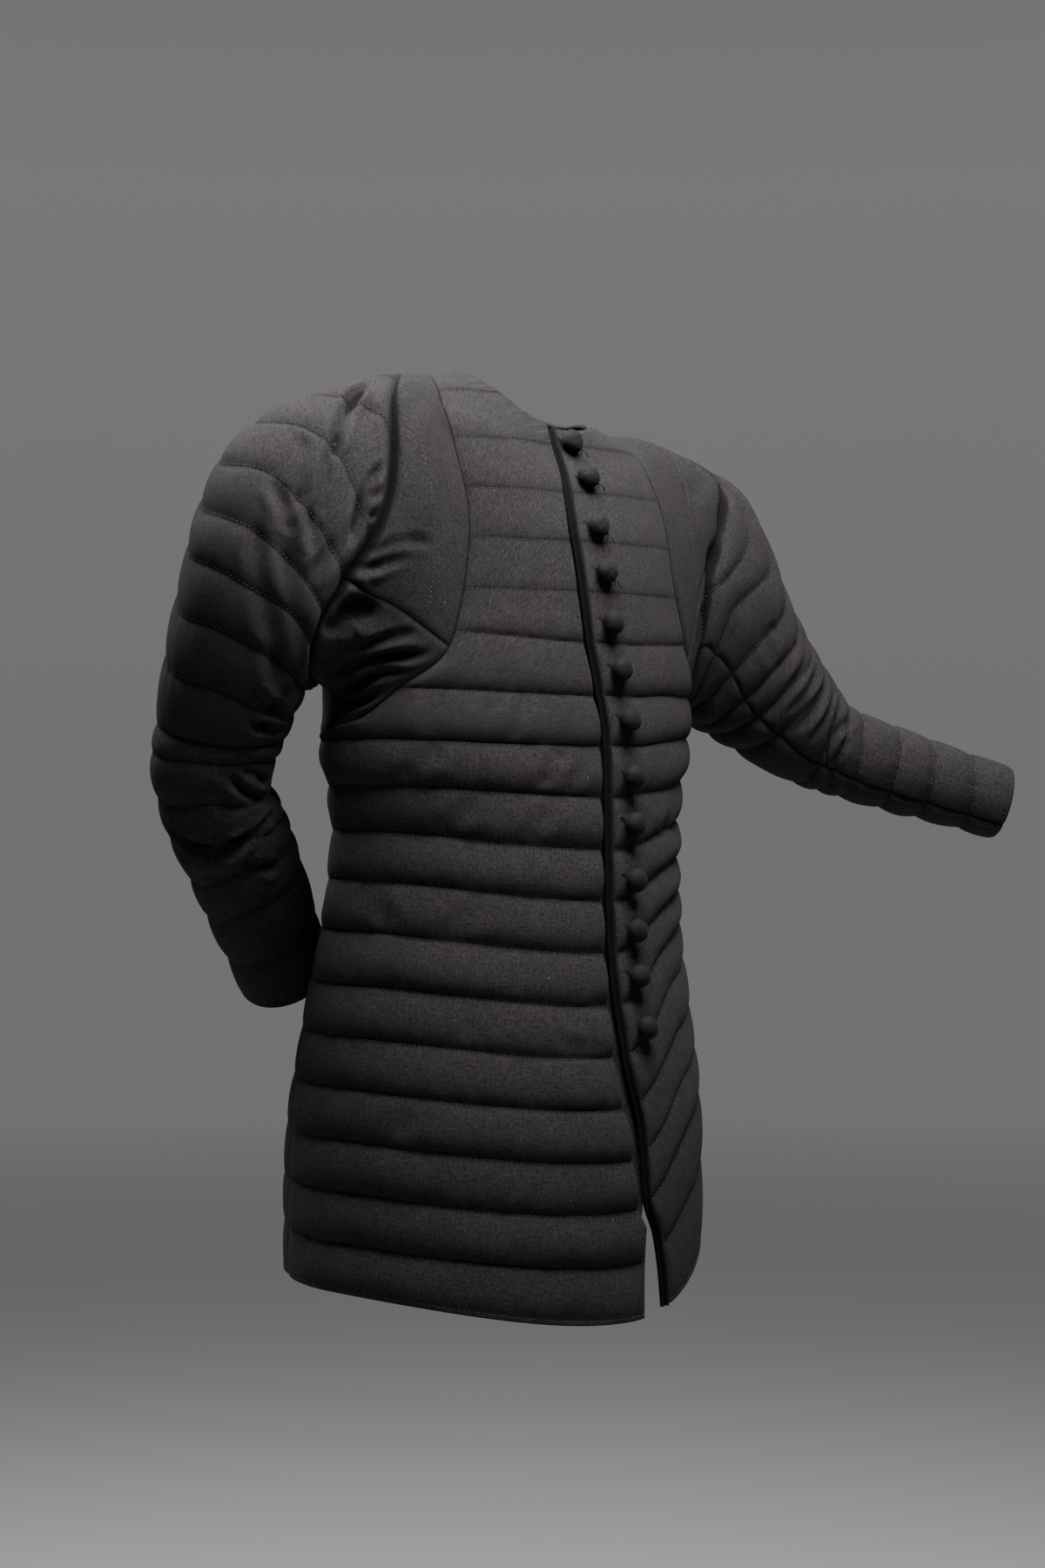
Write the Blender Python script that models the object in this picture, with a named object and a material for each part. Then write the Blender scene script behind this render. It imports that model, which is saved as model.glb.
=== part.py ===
"""Gambeson: a long quilted jacket in worn form, hollow, built panel by panel at real size.

Metres, +Z up.  The front faces -Y and the wearer's left is +X.  Z = 0 is the level of the
garment's neck opening at the side, where a wearer's neck and shoulders carry it.
Every panel is a padded wall: its outer face lies on a shared form and its inner face is
the same form moved in by the wall's thickness.
"""
import math

import bmesh
import bpy
import numpy as np
from mathutils import Vector

# ---- driving sizes -----------------------------------------------------------------------------
WALL = 0.006             # padded cloth, from outer face to inner face
SEAM_GAP = 0.0003        # clear space between two pieces at a seam
LAP_CLEARANCE = 0.0008   # between the upper front and the front under it
LAP_START = 13.0         # degrees outside the upper front's edge where the lower front sinks in
LAP_FADE = 9.0           # degrees over which it sinks
BINDING_WIDTH = 0.007    # corded edge strip of the upper front
BINDING_RISE = 0.0008    # how far that strip stands above the front
BUTTON_RADIUS = 0.0115
BUTTON_HEIGHT = 0.0160
BUTTON_INSET = 0.027     # from the upper front's edge to the line of buttons
NECK_INSET = 0.018       # the same at the neckline
NECK_INSET_ROWS = 1.5    # rows over which it widens
BUTTON_SIDES = 10
CUFF_BUTTON_RADIUS = 0.0065
CUFF_BUTTON_HEIGHT = 0.0060
CUFF_BUTTON_TURN = -77.0  # degrees round from the top of the arm
CUFF_BUTTON_SIDES = 8
SIDE_SEAM = 114.0        # degrees round from the centre front, well behind the side
SIDE_TURN = 220.0        # where it meets the armhole, by direction round the arm
BACK_SEAM = -68.0        # sleeve seam behind the arm, degrees round from the top of the arm
UNDER_SEAM = 140.0       # sleeve seam below the front of the arm
GUSSET_SEAM = 96.0       # seam between the upper and the lower front gusset

# Sections of the body, one for each level, read from the hem up.
# The four heights are where that level lies at the centre front, the wearer's left side,
# the centre back and the right side; the raised left arm pulls the left side up.
BODY_COLUMNS = ("row", "z_front", "z_left", "z_back", "z_right",
                "half_width", "front", "back", "centre_x")
BODY = (
    (0.0, -0.914, -0.822, -0.872, -0.884, 0.213, 0.191, 0.199, -0.020),
    (1.5, -0.835, -0.750, -0.797, -0.815, 0.213, 0.191, 0.201, -0.019),
    (3.0, -0.762, -0.680, -0.724, -0.742, 0.210, 0.190, 0.195, -0.020),
    (5.0, -0.665, -0.603, -0.634, -0.645, 0.200, 0.182, 0.170, -0.021),
    (7.0, -0.567, -0.521, -0.541, -0.547, 0.189, 0.171, 0.145, -0.018),
    (9.0, -0.470, -0.445, -0.452, -0.452, 0.185, 0.165, 0.129, -0.014),
    (11.0, -0.372, -0.361, -0.366, -0.366, 0.205, 0.161, 0.127, -0.011),
    (12.0, -0.324, -0.320, -0.320, -0.317, 0.206, 0.156, 0.129, -0.008),
    (13.0, -0.275, -0.262, -0.262, -0.250, 0.199, 0.150, 0.131, -0.004),
    (14.0, -0.226, -0.195, -0.200, -0.175, 0.190, 0.143, 0.131, -0.002),
    (15.0, -0.178, -0.130, -0.135, -0.100, 0.180, 0.132, 0.125, 0.000),
    (16.0, -0.129, -0.085, -0.070, -0.043, 0.157, 0.113, 0.110, 0.000),
    (16.8, -0.093, -0.058, -0.028, -0.016, 0.116, 0.092, 0.090, 0.000),
    (17.4, -0.063, -0.045, -0.002, -0.004, 0.078, 0.077, 0.070, 0.000),
)
NECK_ROW = 17.4

# The two front edges: sideways place of each edge, by row.
EDGE_COLUMNS = ("row", "left_front_x", "right_front_x")
EDGES = (
    (0.0, 0.035, 0.001),
    (0.7, 0.029, 0.001),
    (1.4, 0.020, 0.003),
    (2.1, 0.005, 0.008),
    (3.5, -0.001, 0.012),
    (5.0, -0.017, 0.012),
    (7.0, -0.025, 0.014),
    (11.0, -0.022, 0.016),
    (13.5, -0.034, 0.010),
    (15.0, -0.035, 0.008),
    (16.5, -0.023, 0.010),
    (17.4, -0.017, 0.012),
)

# The armhole, cut deep into the front and the back: where it crosses the body for each
# direction round the arm (0 on top, 90 in front, 180 below, 270 behind).
ARMHOLE_COLUMNS = ("turn", "right_angle", "left_angle", "row")
ARMHOLE = (
    (0.0, 90.0, 90.0, 16.95),
    (16.0, 76.0, 72.0, 16.6),
    (32.0, 63.0, 53.0, 15.7),
    (64.0, 54.5, 48.0, 14.2),
    (96.0, 58.5, 59.0, 12.65),
    (125.0, 71.0, 71.0, 12.0),
    (160.0, 84.0, 84.0, 11.4),
    (180.0, 93.0, 93.0, 11.28),
    (200.0, 104.0, 104.0, 11.18),
    (220.0, 114.0, 114.0, 11.08),
    (238.0, 118.5, 118.5, 12.3),
    (274.0, 128.0, 128.0, 14.5),
    (310.0, 121.0, 121.0, 16.0),
    (340.0, 103.0, 103.0, 16.75),
)

# Where the sleeve proper starts; between the armhole and this line lie the gussets.
GUSSET_ENDS = (-16.0, 256.0)
GUSSET_TIP = 0.02        # ring at which the gussets taper out
SLEEVE_START_COLUMNS = ("turn", "right_ring", "left_ring")
SLEEVE_START = (
    (-16.0, 0.0, 0.0),
    (0.0, 0.5, 0.6),
    (16.0, 0.9, 1.8),
    (32.0, 1.2, 2.9),
    (64.0, 1.5, 2.25),
    (96.0, 2.8, 1.4),
    (140.0, 4.6, 0.9),
    (180.0, 3.6, 0.9),
    (220.0, 1.2, 0.6),
    (256.0, 0.0, 0.0),
)

# The elbow seam: its ring for each direction round the arm.
ELBOW_COLUMNS = ("turn", "right_ring", "left_ring")
ELBOW = (
    (-68.0, 8.2, 8.6),
    (15.0, 8.05, 8.4),
    (61.0, 7.8, 8.45),
    (106.0, 7.35, 8.8),
    (140.0, 7.05, 9.45),
    (200.0, 7.2, 9.6),
    (250.0, 7.8, 9.1),
    (292.0, 8.2, 8.6),
)

# Rings of each sleeve from the shoulder to the cuff: centre, half height along the ring's
# own upward direction, half depth from front to back, that direction's lean outward, and how
# far the ring's seams are turned round the arm beside SHIFT_CENTRE.
RING_COLUMNS = ("x", "y", "z", "half_height", "half_depth", "lean", "shift")
RIGHT_SLEEVE = (
    (-0.185, 0.000, -0.176, 0.160, 0.088, -7.0, 21.0),
    (-0.218, 0.008, -0.179, 0.143, 0.083, 3.0, 16.0),
    (-0.251, 0.016, -0.188, 0.132, 0.082, 14.0, 6.0),
    (-0.278, 0.025, -0.209, 0.117, 0.080, 26.0, 0.0),
    (-0.291, 0.038, -0.243, 0.095, 0.077, 40.0, 0.0),
    (-0.293, 0.055, -0.281, 0.080, 0.073, 55.0, 0.0),
    (-0.292, 0.078, -0.326, 0.069, 0.066, 68.0, 0.0),
    (-0.288, 0.098, -0.365, 0.060, 0.060, 80.0, 0.0),
    (-0.284, 0.111, -0.400, 0.057, 0.058, 92.0, 0.0),
    (-0.262, 0.124, -0.435, 0.056, 0.056, 112.0, 0.0),
    (-0.228, 0.142, -0.475, 0.055, 0.054, 123.0, 0.0),
    (-0.179, 0.169, -0.536, 0.052, 0.050, 127.0, 0.0),
    (-0.128, 0.198, -0.602, 0.047, 0.044, 127.0, 0.0),
)
LEFT_SLEEVE = (
    (0.186, 0.000, -0.195, 0.143, 0.088, -8.0, -17.0),
    (0.219, 0.000, -0.201, 0.137, 0.084, -1.0, -17.0),
    (0.251, 0.000, -0.209, 0.133, 0.081, 5.0, -14.0),
    (0.281, -0.002, -0.221, 0.127, 0.078, 10.0, -8.0),
    (0.304, -0.004, -0.246, 0.108, 0.075, 15.0, -3.0),
    (0.328, -0.006, -0.275, 0.088, 0.071, 20.0, 0.0),
    (0.353, -0.011, -0.303, 0.073, 0.067, 27.0, 0.0),
    (0.382, -0.017, -0.332, 0.063, 0.062, 35.0, 0.0),
    (0.413, -0.024, -0.358, 0.053, 0.056, 38.0, 0.0),
    (0.442, -0.035, -0.371, 0.047, 0.052, 30.0, 0.0),
    (0.475, -0.055, -0.384, 0.045, 0.049, 20.0, 0.0),
    (0.530, -0.092, -0.404, 0.042, 0.044, 18.0, 0.0),
    (0.598, -0.137, -0.428, 0.039, 0.038, 17.0, 0.0),
)
SHIFT_CENTRE = {-1: 96.0, 1: 140.0}
SHIFT_REACH = 45.0       # degrees over which that turning fades away
LAST_RING = len(RIGHT_SLEEVE)

# Points across each panel.
FRONT_COLUMNS = 11
BACK_COLUMNS = 13
GUSSET_RINGS = 5
UPPER_SLEEVE_RINGS = 12
FORE_SLEEVE_RINGS = 9
EVEN_SHARE = 0.45        # how far a panel's free edge spreads its rows evenly
ROW_BEND = 1.15          # how late a row's slope starts, away from the centre line
TANGENT_STEP = 0.05      # step in degrees, rows or rings for finding a form's normal

# Buttons down the front, by row.
FRONT_BUTTON_ROWS = (17.1, 16.3, 15.3, 14.4, 13.4, 12.5, 11.5, 10.4, 9.5, 8.4, 7.4, 6.5, 5.5)
# Buttons up the back seam of each forearm, by ring.
CUFF_BUTTON_RINGS = (9.1, 9.9, 10.7, 11.4, 12.05)
# Shape of a covered button: share of its radius at each share of its height.
DOME = ((0.62, 0.0), (1.0, 0.40), (0.88, 0.72), (0.46, 0.96))

# Colours of the cloth, linear.
CLOTH_COLOUR = (0.030, 0.027, 0.029)
GUSSET_COLOUR = (0.032, 0.029, 0.031)
EDGE_COLOUR = (0.022, 0.020, 0.022)
BUTTON_COLOUR = (0.024, 0.022, 0.024)
CLOTH_ROUGHNESS = 0.9


# ---- forms -------------------------------------------------------------------------------------
def column(table, columns, name):
    return np.array([row[columns.index(name)] for row in table], dtype=float)


def ease(x):
    x = np.clip(x, 0.0, 1.0)
    return x * x * (3.0 - 2.0 * x)


def follow(xs, ys, x):
    """Smooth curve through (xs, ys) that never swings past the values it joins."""
    step = np.diff(xs)
    rise = np.diff(ys) / step
    slope = np.concatenate(([rise[0]], np.zeros(len(rise) - 1), [rise[-1]]))
    for i in range(1, len(rise)):
        if rise[i - 1] * rise[i] > 0.0:
            w1 = 2.0 * step[i] + step[i - 1]
            w2 = step[i] + 2.0 * step[i - 1]
            slope[i] = (w1 + w2) / (w1 / rise[i - 1] + w2 / rise[i])
    x = np.asarray(x, dtype=float)
    i = np.clip(np.searchsorted(xs, x, side="right") - 1, 0, len(step) - 1)
    t = np.clip((x - xs[i]) / step[i], 0.0, 1.0)
    a = (1.0 + 2.0 * t) * (1.0 - t) ** 2
    b = t * (1.0 - t) ** 2
    c = t * t * (3.0 - 2.0 * t)
    d = t * t * (t - 1.0)
    return a * ys[i] + b * step[i] * slope[i] + c * ys[i + 1] + d * step[i] * slope[i + 1]


def read(table, columns, name, at):
    """Value of one column of a table at a place given in the table's first column."""
    return follow(column(table, columns, columns[0]), column(table, columns, name), at)


def body(angle, row):
    """Outer form of the body: angle in degrees from the centre front toward the left."""
    angle, row = np.broadcast_arrays(np.asarray(angle, dtype=float), np.asarray(row, dtype=float))
    size = {name: read(BODY, BODY_COLUMNS, name, row) for name in BODY_COLUMNS[1:]}
    sine = np.sin(np.radians(angle))
    cosine = np.cos(np.radians(angle))
    depth = np.where(cosine >= 0.0, size["front"], size["back"])
    radius = ((sine / size["half_width"]) ** 2 + (cosine / depth) ** 2) ** -0.5
    side = np.where(sine >= 0.0, size["z_left"], size["z_right"])
    end = np.where(cosine >= 0.0, size["z_front"], size["z_back"])
    z = end * cosine ** 2 + side * sine ** 2
    return np.stack((size["centre_x"] + radius * sine, -radius * cosine, z), axis=-1)


def armhole(turn, side):
    """(angle, row) where the armhole crosses the body; side is +1 left, -1 right."""
    turns = column(ARMHOLE, ARMHOLE_COLUMNS, "turn")
    rounds = np.concatenate((turns - 360.0, turns, turns + 360.0))
    name = "left_angle" if side > 0 else "right_angle"
    angle = follow(rounds, np.tile(column(ARMHOLE, ARMHOLE_COLUMNS, name), 3), turn)
    row = follow(rounds, np.tile(column(ARMHOLE, ARMHOLE_COLUMNS, "row"), 3), turn)
    return side * angle, row


def ring_frames(side):
    """Centre, upward and forward half-axes and seam shift of every ring of one sleeve."""
    rings = LEFT_SLEEVE if side > 0 else RIGHT_SLEEVE
    centre = np.array([ring[:3] for ring in rings])
    path = np.gradient(np.vstack(([centre[0] * (0.9, 1.0, 1.0)], centre)), axis=0)[1:]
    lean = np.radians(column(rings, RING_COLUMNS, "lean"))
    up = np.stack((side * np.sin(lean), np.zeros_like(lean), np.cos(lean)), axis=-1)
    forward = np.cross(up, path)
    forward /= np.linalg.norm(forward, axis=-1, keepdims=True)
    forward *= -np.sign(forward[:, 1:2])
    up *= column(rings, RING_COLUMNS, "half_height")[:, None]
    forward *= column(rings, RING_COLUMNS, "half_depth")[:, None]
    return centre, up, forward, column(rings, RING_COLUMNS, "shift")


def sleeve(turn, ring, side):
    """Outer form of a sleeve: turn round the arm, ring 0 at the armhole, LAST_RING the cuff."""
    turn, ring = np.broadcast_arrays(np.asarray(turn, dtype=float), np.asarray(ring, dtype=float))
    centre, up, forward, shift = ring_frames(side)
    shape = turn.shape
    turn = turn.ravel()
    ring = ring.ravel()
    reach = (turn - SHIFT_CENTRE[side] + 180.0) % 360.0 - 180.0
    turned = turn + shift[:, None] * np.exp(-(reach / SHIFT_REACH) ** 2)
    cosine = np.cos(np.radians(turned))[..., None]
    sine = np.sin(np.radians(turned))[..., None]
    rings = centre[:, None, :] + cosine * up[:, None, :] + sine * forward[:, None, :]
    rings = np.concatenate((body(*armhole(turn, side))[None], rings))
    slope = np.gradient(rings, axis=0)
    i = np.clip(ring.astype(int), 0, LAST_RING - 1)
    t = np.clip(ring - i, 0.0, 1.0)[:, None]
    n = np.arange(len(ring))
    here, there = rings[i, n], rings[i + 1, n]
    out, back = slope[i, n], slope[i + 1, n]
    p = ((1.0 + 2.0 * t) * (1.0 - t) ** 2 * here + t * (1.0 - t) ** 2 * out
         + t * t * (3.0 - 2.0 * t) * there + t * t * (t - 1.0) * back)
    return p.reshape(shape + (3,))


def sleeve_start(turn, side):
    """Ring where the sleeve proper starts, for a direction round the arm."""
    name = "left_ring" if side > 0 else "right_ring"
    turn = (np.asarray(turn, dtype=float) - BACK_SEAM) % 360.0 + BACK_SEAM
    ring = np.maximum(read(SLEEVE_START, SLEEVE_START_COLUMNS, name, turn), GUSSET_TIP)
    return np.where((turn < GUSSET_ENDS[0]) | (turn > GUSSET_ENDS[1]), 0.0, ring)


def elbow_seam(turn, side):
    """Ring of the elbow seam, for a direction round the arm."""
    return read(ELBOW, ELBOW_COLUMNS, "left_ring" if side > 0 else "right_ring", turn)


def front_edge(row, name):
    """Angle round the body of a front's free edge."""
    x = read(EDGES, EDGE_COLUMNS, name, row)
    middle = read(BODY, BODY_COLUMNS, "centre_x", row)
    depth = read(BODY, BODY_COLUMNS, "front", row)
    return np.degrees(np.arctan2(x - middle, depth))


def cross_normals(du, dv, side=1):
    normal = np.cross(du, dv) * side
    return normal / np.linalg.norm(normal, axis=-1, keepdims=True)


def body_normal(angle, row):
    step = TANGENT_STEP
    du = body(angle + step, row) - body(angle - step, row)
    dv = body(angle, np.minimum(row + step, NECK_ROW)) - body(angle, np.maximum(row - step, 0.0))
    return cross_normals(du, dv)


def sleeve_normal(turn, ring, side):
    step = TANGENT_STEP
    du = sleeve(turn + step, ring, side) - sleeve(turn - step, ring, side)
    dv = sleeve(turn, np.minimum(ring + step, LAST_RING), side)
    dv = dv - sleeve(turn, np.maximum(ring - step, 0.0), side)
    return cross_normals(du, dv, side)


def armhole_faces(turn, side):
    """Outer and inner points along the armhole, shared by the body and the sleeve."""
    at = armhole(turn, side)
    normal = body_normal(*at) + sleeve_normal(turn, np.full(np.shape(turn), 2.0 * TANGENT_STEP), side)
    normal /= np.linalg.norm(normal, axis=-1, keepdims=True)
    outer = body(*at)
    return outer, outer - normal * WALL


def body_faces(angle, row, sunk=0.0):
    """Outer and inner points of the body's wall, moved in by sunk."""
    normal = body_normal(angle, row)
    outer = body(angle, row) - normal * np.asarray(sunk)[..., None]
    return outer, outer - normal * WALL


def sleeve_faces(turn, ring, side):
    """Outer and inner points of a sleeve's wall."""
    outer = sleeve(turn, ring, side)
    inner = outer - sleeve_normal(turn, ring, side) * WALL
    shared = np.broadcast_to(ring, outer.shape[:-1]) <= 0.0
    if shared.any():
        inner[shared] = armhole_faces(np.broadcast_to(turn, shared.shape)[shared], side)[1]
    return outer, inner


# ---- panels ------------------------------------------------------------------------------------
def pull_in(grid, gap):
    """Move a grid's border inward by gap, so that two pieces leave a seam between them."""
    grid = grid.copy()
    for axis in (0, 1):
        rows = np.moveaxis(grid, axis, 0)
        for edge, neighbour in ((0, 1), (-1, -2)):
            inward = rows[neighbour] - rows[edge]
            length = np.linalg.norm(inward, axis=-1, keepdims=True)
            rows[edge] = rows[edge] + inward / length * gap
    return grid


def closed_wall(outer, inner):
    """Closed mesh between two grids of points of the same shape."""
    rows, columns = outer.shape[:2]
    mesh = bmesh.new()
    sheets = []
    for grid in (outer, inner):
        sheets.append([[mesh.verts.new(grid[i, j]) for j in range(columns)] for i in range(rows)])
    out, back = sheets
    for i in range(rows - 1):
        for j in range(columns - 1):
            mesh.faces.new((out[i][j], out[i][j + 1], out[i + 1][j + 1], out[i + 1][j]))
            mesh.faces.new((back[i][j], back[i + 1][j], back[i + 1][j + 1], back[i][j + 1]))
    border = [(0, j) for j in range(columns)] + [(i, columns - 1) for i in range(1, rows)]
    border += [(rows - 1, j) for j in range(columns - 2, -1, -1)]
    border += [(i, 0) for i in range(rows - 2, 0, -1)]
    for (i, j), (m, n) in zip(border, border[1:] + border[:1]):
        mesh.faces.new((out[m][n], out[i][j], back[i][j], back[m][n]))
    return mesh


def add_object(name, mesh, material):
    bmesh.ops.recalc_face_normals(mesh, faces=mesh.faces)
    bmesh.ops.triangulate(mesh, faces=mesh.faces)
    data = bpy.data.meshes.new(name)
    mesh.to_mesh(data)
    mesh.free()
    data.materials.append(material)
    made = bpy.data.objects.new(name, data)
    bpy.context.scene.collection.objects.link(made)
    return made


def add_panel(name, faces, material):
    outer, inner = (pull_in(grid, SEAM_GAP / 2.0) for grid in faces)
    return add_object(name, closed_wall(outer, inner), material)


def cloth(name, colour):
    material = bpy.data.materials.new(name)
    material.use_nodes = True
    shader = material.node_tree.nodes["Principled BSDF"]
    shader.inputs["Base Color"].default_value = (*colour, 1.0)
    shader.inputs["Roughness"].default_value = CLOTH_ROUGHNESS
    shader.inputs["Metallic"].default_value = 0.0
    return material


# ---- lines of points shared by neighbouring pieces -----------------------------------------------
SIDE_ROWS = np.array((0.0, 1.2, 2.5, 3.8, 5.1, 6.4, 7.6, 8.8, 10.0))
FRONT_TURNS = np.array((SIDE_TURN, 200.0, 180.0, 160.0, 140.0, 124.0, 110.0, 96.0, 80.0, 64.0,
                        48.0, 32.0, 16.0, 0.0))
BACK_TURNS = np.array((SIDE_TURN, 238.0, 256.0, 274.0, 292.0, 310.0, 328.0, 344.0, 360.0))
TOP_TURNS = np.array((-68.0, -50.0, -32.0, -16.0))
UNDER_TURNS = np.array((140.0, 160.0, 180.0, 200.0, SIDE_TURN, 238.0, 256.0, 274.0, 292.0))


def side_line(turns, side):
    """Side seam, then one half of the armhole, then the shoulder seam: angle and row."""
    angle, row = armhole(turns, side)
    angle = np.concatenate((np.full(len(SIDE_ROWS), side * SIDE_SEAM), angle, [side * 90.0]))
    return angle, np.concatenate((SIDE_ROWS, row, [NECK_ROW]))


def inner_rows(rows, seam_count):
    """Rows along the far border of a panel, spread so that its strips stay even."""
    even = np.linspace(rows[seam_count], NECK_ROW, len(rows) - seam_count)
    spread = rows.copy()
    spread[seam_count:] += EVEN_SHARE * (even - rows[seam_count:])
    return spread


def front_grid(side):
    """Angle and row of a front's points, from its free edge to its side."""
    outer_angle, outer_row = side_line(FRONT_TURNS, side)
    edge_row = inner_rows(outer_row, len(SIDE_ROWS))
    edge_angle = front_edge(edge_row, "left_front_x" if side > 0 else "right_front_x")
    if side > 0:
        edge_angle = binding_inner(edge_row)
    share = np.linspace(0.0, 1.0, FRONT_COLUMNS)
    bend = share ** ROW_BEND
    angle = edge_angle[:, None] + (outer_angle - edge_angle)[:, None] * share
    row = edge_row[:, None] + (outer_row - edge_row)[:, None] * bend
    return angle, row


def binding_inner(row):
    """Angle where the edge binding meets the front's cloth."""
    depth = read(BODY, BODY_COLUMNS, "front", row)
    return front_edge(row, "left_front_x") + np.degrees(BINDING_WIDTH / depth)


def lap_depth(angle, row):
    """How far the lower front is pushed in where the upper front lies over it."""
    from_edge = angle - front_edge(row, "left_front_x")
    return (WALL + LAP_CLEARANCE) * ease((from_edge + LAP_START) / LAP_FADE)


def join_armhole(faces, column_at, turns, side):
    """Put a body panel's border on the points that it shares with the sleeve."""
    first = len(SIDE_ROWS)
    outer, inner = armhole_faces(turns, side)
    faces[0][first:first + len(turns), column_at] = outer
    faces[1][first:first + len(turns), column_at] = inner


def make_front(side, material):
    angle, row = front_grid(side)
    sunk = lap_depth(angle, row) if side < 0 else np.zeros(row.shape)
    faces = body_faces(angle, row, sunk)
    join_armhole(faces, -1, FRONT_TURNS, side)
    return add_panel("front_left" if side > 0 else "front_right", faces, material)


def make_back(material):
    right_angle, right_row = side_line(BACK_TURNS, -1)
    left_angle, left_row = side_line(BACK_TURNS, 1)
    right_angle = right_angle + 360.0
    share = np.linspace(0.0, 1.0, BACK_COLUMNS)
    middle_row = inner_rows(left_row, len(SIDE_ROWS))
    toward_side = np.abs(2.0 * share - 1.0) ** ROW_BEND
    angle = left_angle[:, None] + (right_angle - left_angle)[:, None] * share
    side_row = left_row[:, None] + (right_row - left_row)[:, None] * share
    row = middle_row[:, None] + (side_row - middle_row[:, None]) * toward_side
    faces = body_faces(angle, row)
    join_armhole(faces, 0, BACK_TURNS, 1)
    join_armhole(faces, -1, BACK_TURNS, -1)
    return add_panel("back", faces, material)


def make_binding(material):
    """Corded strip along the upper front's free edge."""
    rows = front_grid(1)[1][:, 0]
    angle = np.stack((front_edge(rows, "left_front_x"), binding_inner(rows)), axis=1)
    row = np.stack((rows, rows), axis=1)
    outer, inner = body_faces(angle, row, np.full(row.shape, -BINDING_RISE))
    inner += (inner - outer) / WALL * BINDING_RISE
    return add_panel("front_edge_binding", (outer, inner), material)


def between(start, stop, steps):
    """Rings of a sleeve panel's points, from one line round the arm to another."""
    return start + (stop - start) * np.linspace(0.0, 1.0, steps)[:, None]


def strip(turns, ring, side):
    return sleeve_faces(np.broadcast_to(turns, ring.shape), ring, side)


def make_gussets(side, word, material):
    front = FRONT_TURNS[::-1]
    behind = BACK_TURNS[(BACK_TURNS > SIDE_TURN) & (BACK_TURNS <= GUSSET_ENDS[1])]
    upper = np.concatenate((GUSSET_ENDS[:1], front[front <= GUSSET_SEAM]))
    lower = np.concatenate((front[front >= GUSSET_SEAM], behind))
    for name, turns in (("gusset_upper", upper), ("gusset_lower", lower)):
        faces = strip(turns, between(np.zeros(len(turns)), sleeve_start(turns, side), GUSSET_RINGS), side)
        add_panel(f"{name}_{word}", faces, material)


def make_sleeve(side, word, material):
    front = FRONT_TURNS[::-1]
    top = np.concatenate((TOP_TURNS, front[front <= UNDER_SEAM]))
    for name, turns in (("upper", top), ("under", UNDER_TURNS)):
        elbow = elbow_seam(turns, side)
        cuff = np.full(len(turns), float(LAST_RING))
        upper = between(sleeve_start(turns, side), elbow, UPPER_SLEEVE_RINGS)
        fore = between(elbow, cuff, FORE_SLEEVE_RINGS)
        if name == "under":
            ring = np.vstack((upper, fore[1:]))
            add_panel(f"sleeve_under_{word}", strip(turns, ring, side), material)
        else:
            add_panel(f"sleeve_upper_{word}", strip(turns, upper, side), material)
            add_panel(f"sleeve_fore_{word}", strip(turns, fore, side), material)


# ---- buttons -------------------------------------------------------------------------------------
def dome(centre, normal, radius, height, sides):
    """Cloth-covered button: a low domed disc standing on a face."""
    mesh = bmesh.new()
    turn = Vector((0.0, 0.0, 1.0)).rotation_difference(Vector(normal))
    base = Vector(centre) + Vector(normal) * SEAM_GAP
    circles = []
    for across, rise in DOME:
        circle = []
        for k in range(sides):
            a = 2.0 * math.pi * k / sides
            point = Vector((math.cos(a) * across, math.sin(a) * across, 0.0)) * radius
            point.z = rise * height
            circle.append(mesh.verts.new(base + turn @ point))
        circles.append(circle)
    for low, high in zip(circles, circles[1:]):
        for k in range(sides):
            n = (k + 1) % sides
            mesh.faces.new((low[k], low[n], high[n], high[k]))
    mesh.faces.new(circles[0][::-1])
    mesh.faces.new(circles[-1])
    return mesh


def make_front_buttons(material):
    for number, row in enumerate(FRONT_BUTTON_ROWS, start=1):
        inset = NECK_INSET + (BUTTON_INSET - NECK_INSET) * ease((NECK_ROW - row) / NECK_INSET_ROWS)
        depth = read(BODY, BODY_COLUMNS, "front", row)
        angle = front_edge(row, "left_front_x") + math.degrees(math.atan(inset / depth))
        outer, inner = body_faces(angle, np.asarray(row))
        normal = (outer - inner) / WALL
        mesh = dome(outer, normal, BUTTON_RADIUS, BUTTON_HEIGHT, BUTTON_SIDES)
        add_object(f"front_button_{number:02d}", mesh, material)


def make_cuff_buttons(side, word, material):
    turn = np.asarray(CUFF_BUTTON_TURN)
    for number, ring in enumerate(CUFF_BUTTON_RINGS, start=1):
        outer, inner = sleeve_faces(turn, np.asarray(ring), side)
        normal = (outer - inner) / WALL
        mesh = dome(outer, normal, CUFF_BUTTON_RADIUS, CUFF_BUTTON_HEIGHT, CUFF_BUTTON_SIDES)
        add_object(f"cuff_button_{word}_{number}", mesh, material)


def main():
    for old in list(bpy.data.objects):
        bpy.data.objects.remove(old, do_unlink=True)
    padded = cloth("quilted_cloth", CLOTH_COLOUR)
    plain = cloth("gusset_cloth", GUSSET_COLOUR)
    edge = cloth("edge_cloth", EDGE_COLOUR)
    button = cloth("button_cloth", BUTTON_COLOUR)
    make_front(-1, padded)
    make_front(1, padded)
    make_back(padded)
    make_binding(edge)
    for side, word in ((-1, "right"), (1, "left")):
        make_gussets(side, word, plain)
        make_sleeve(side, word, padded)
        make_cuff_buttons(side, word, button)
    make_front_buttons(button)


main()
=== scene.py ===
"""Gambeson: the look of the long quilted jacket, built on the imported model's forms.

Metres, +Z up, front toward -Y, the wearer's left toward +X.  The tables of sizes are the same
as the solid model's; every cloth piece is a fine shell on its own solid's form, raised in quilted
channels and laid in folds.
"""
import math

import bpy
import numpy as np
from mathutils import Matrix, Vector
from mathutils.kdtree import KDTree


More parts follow.
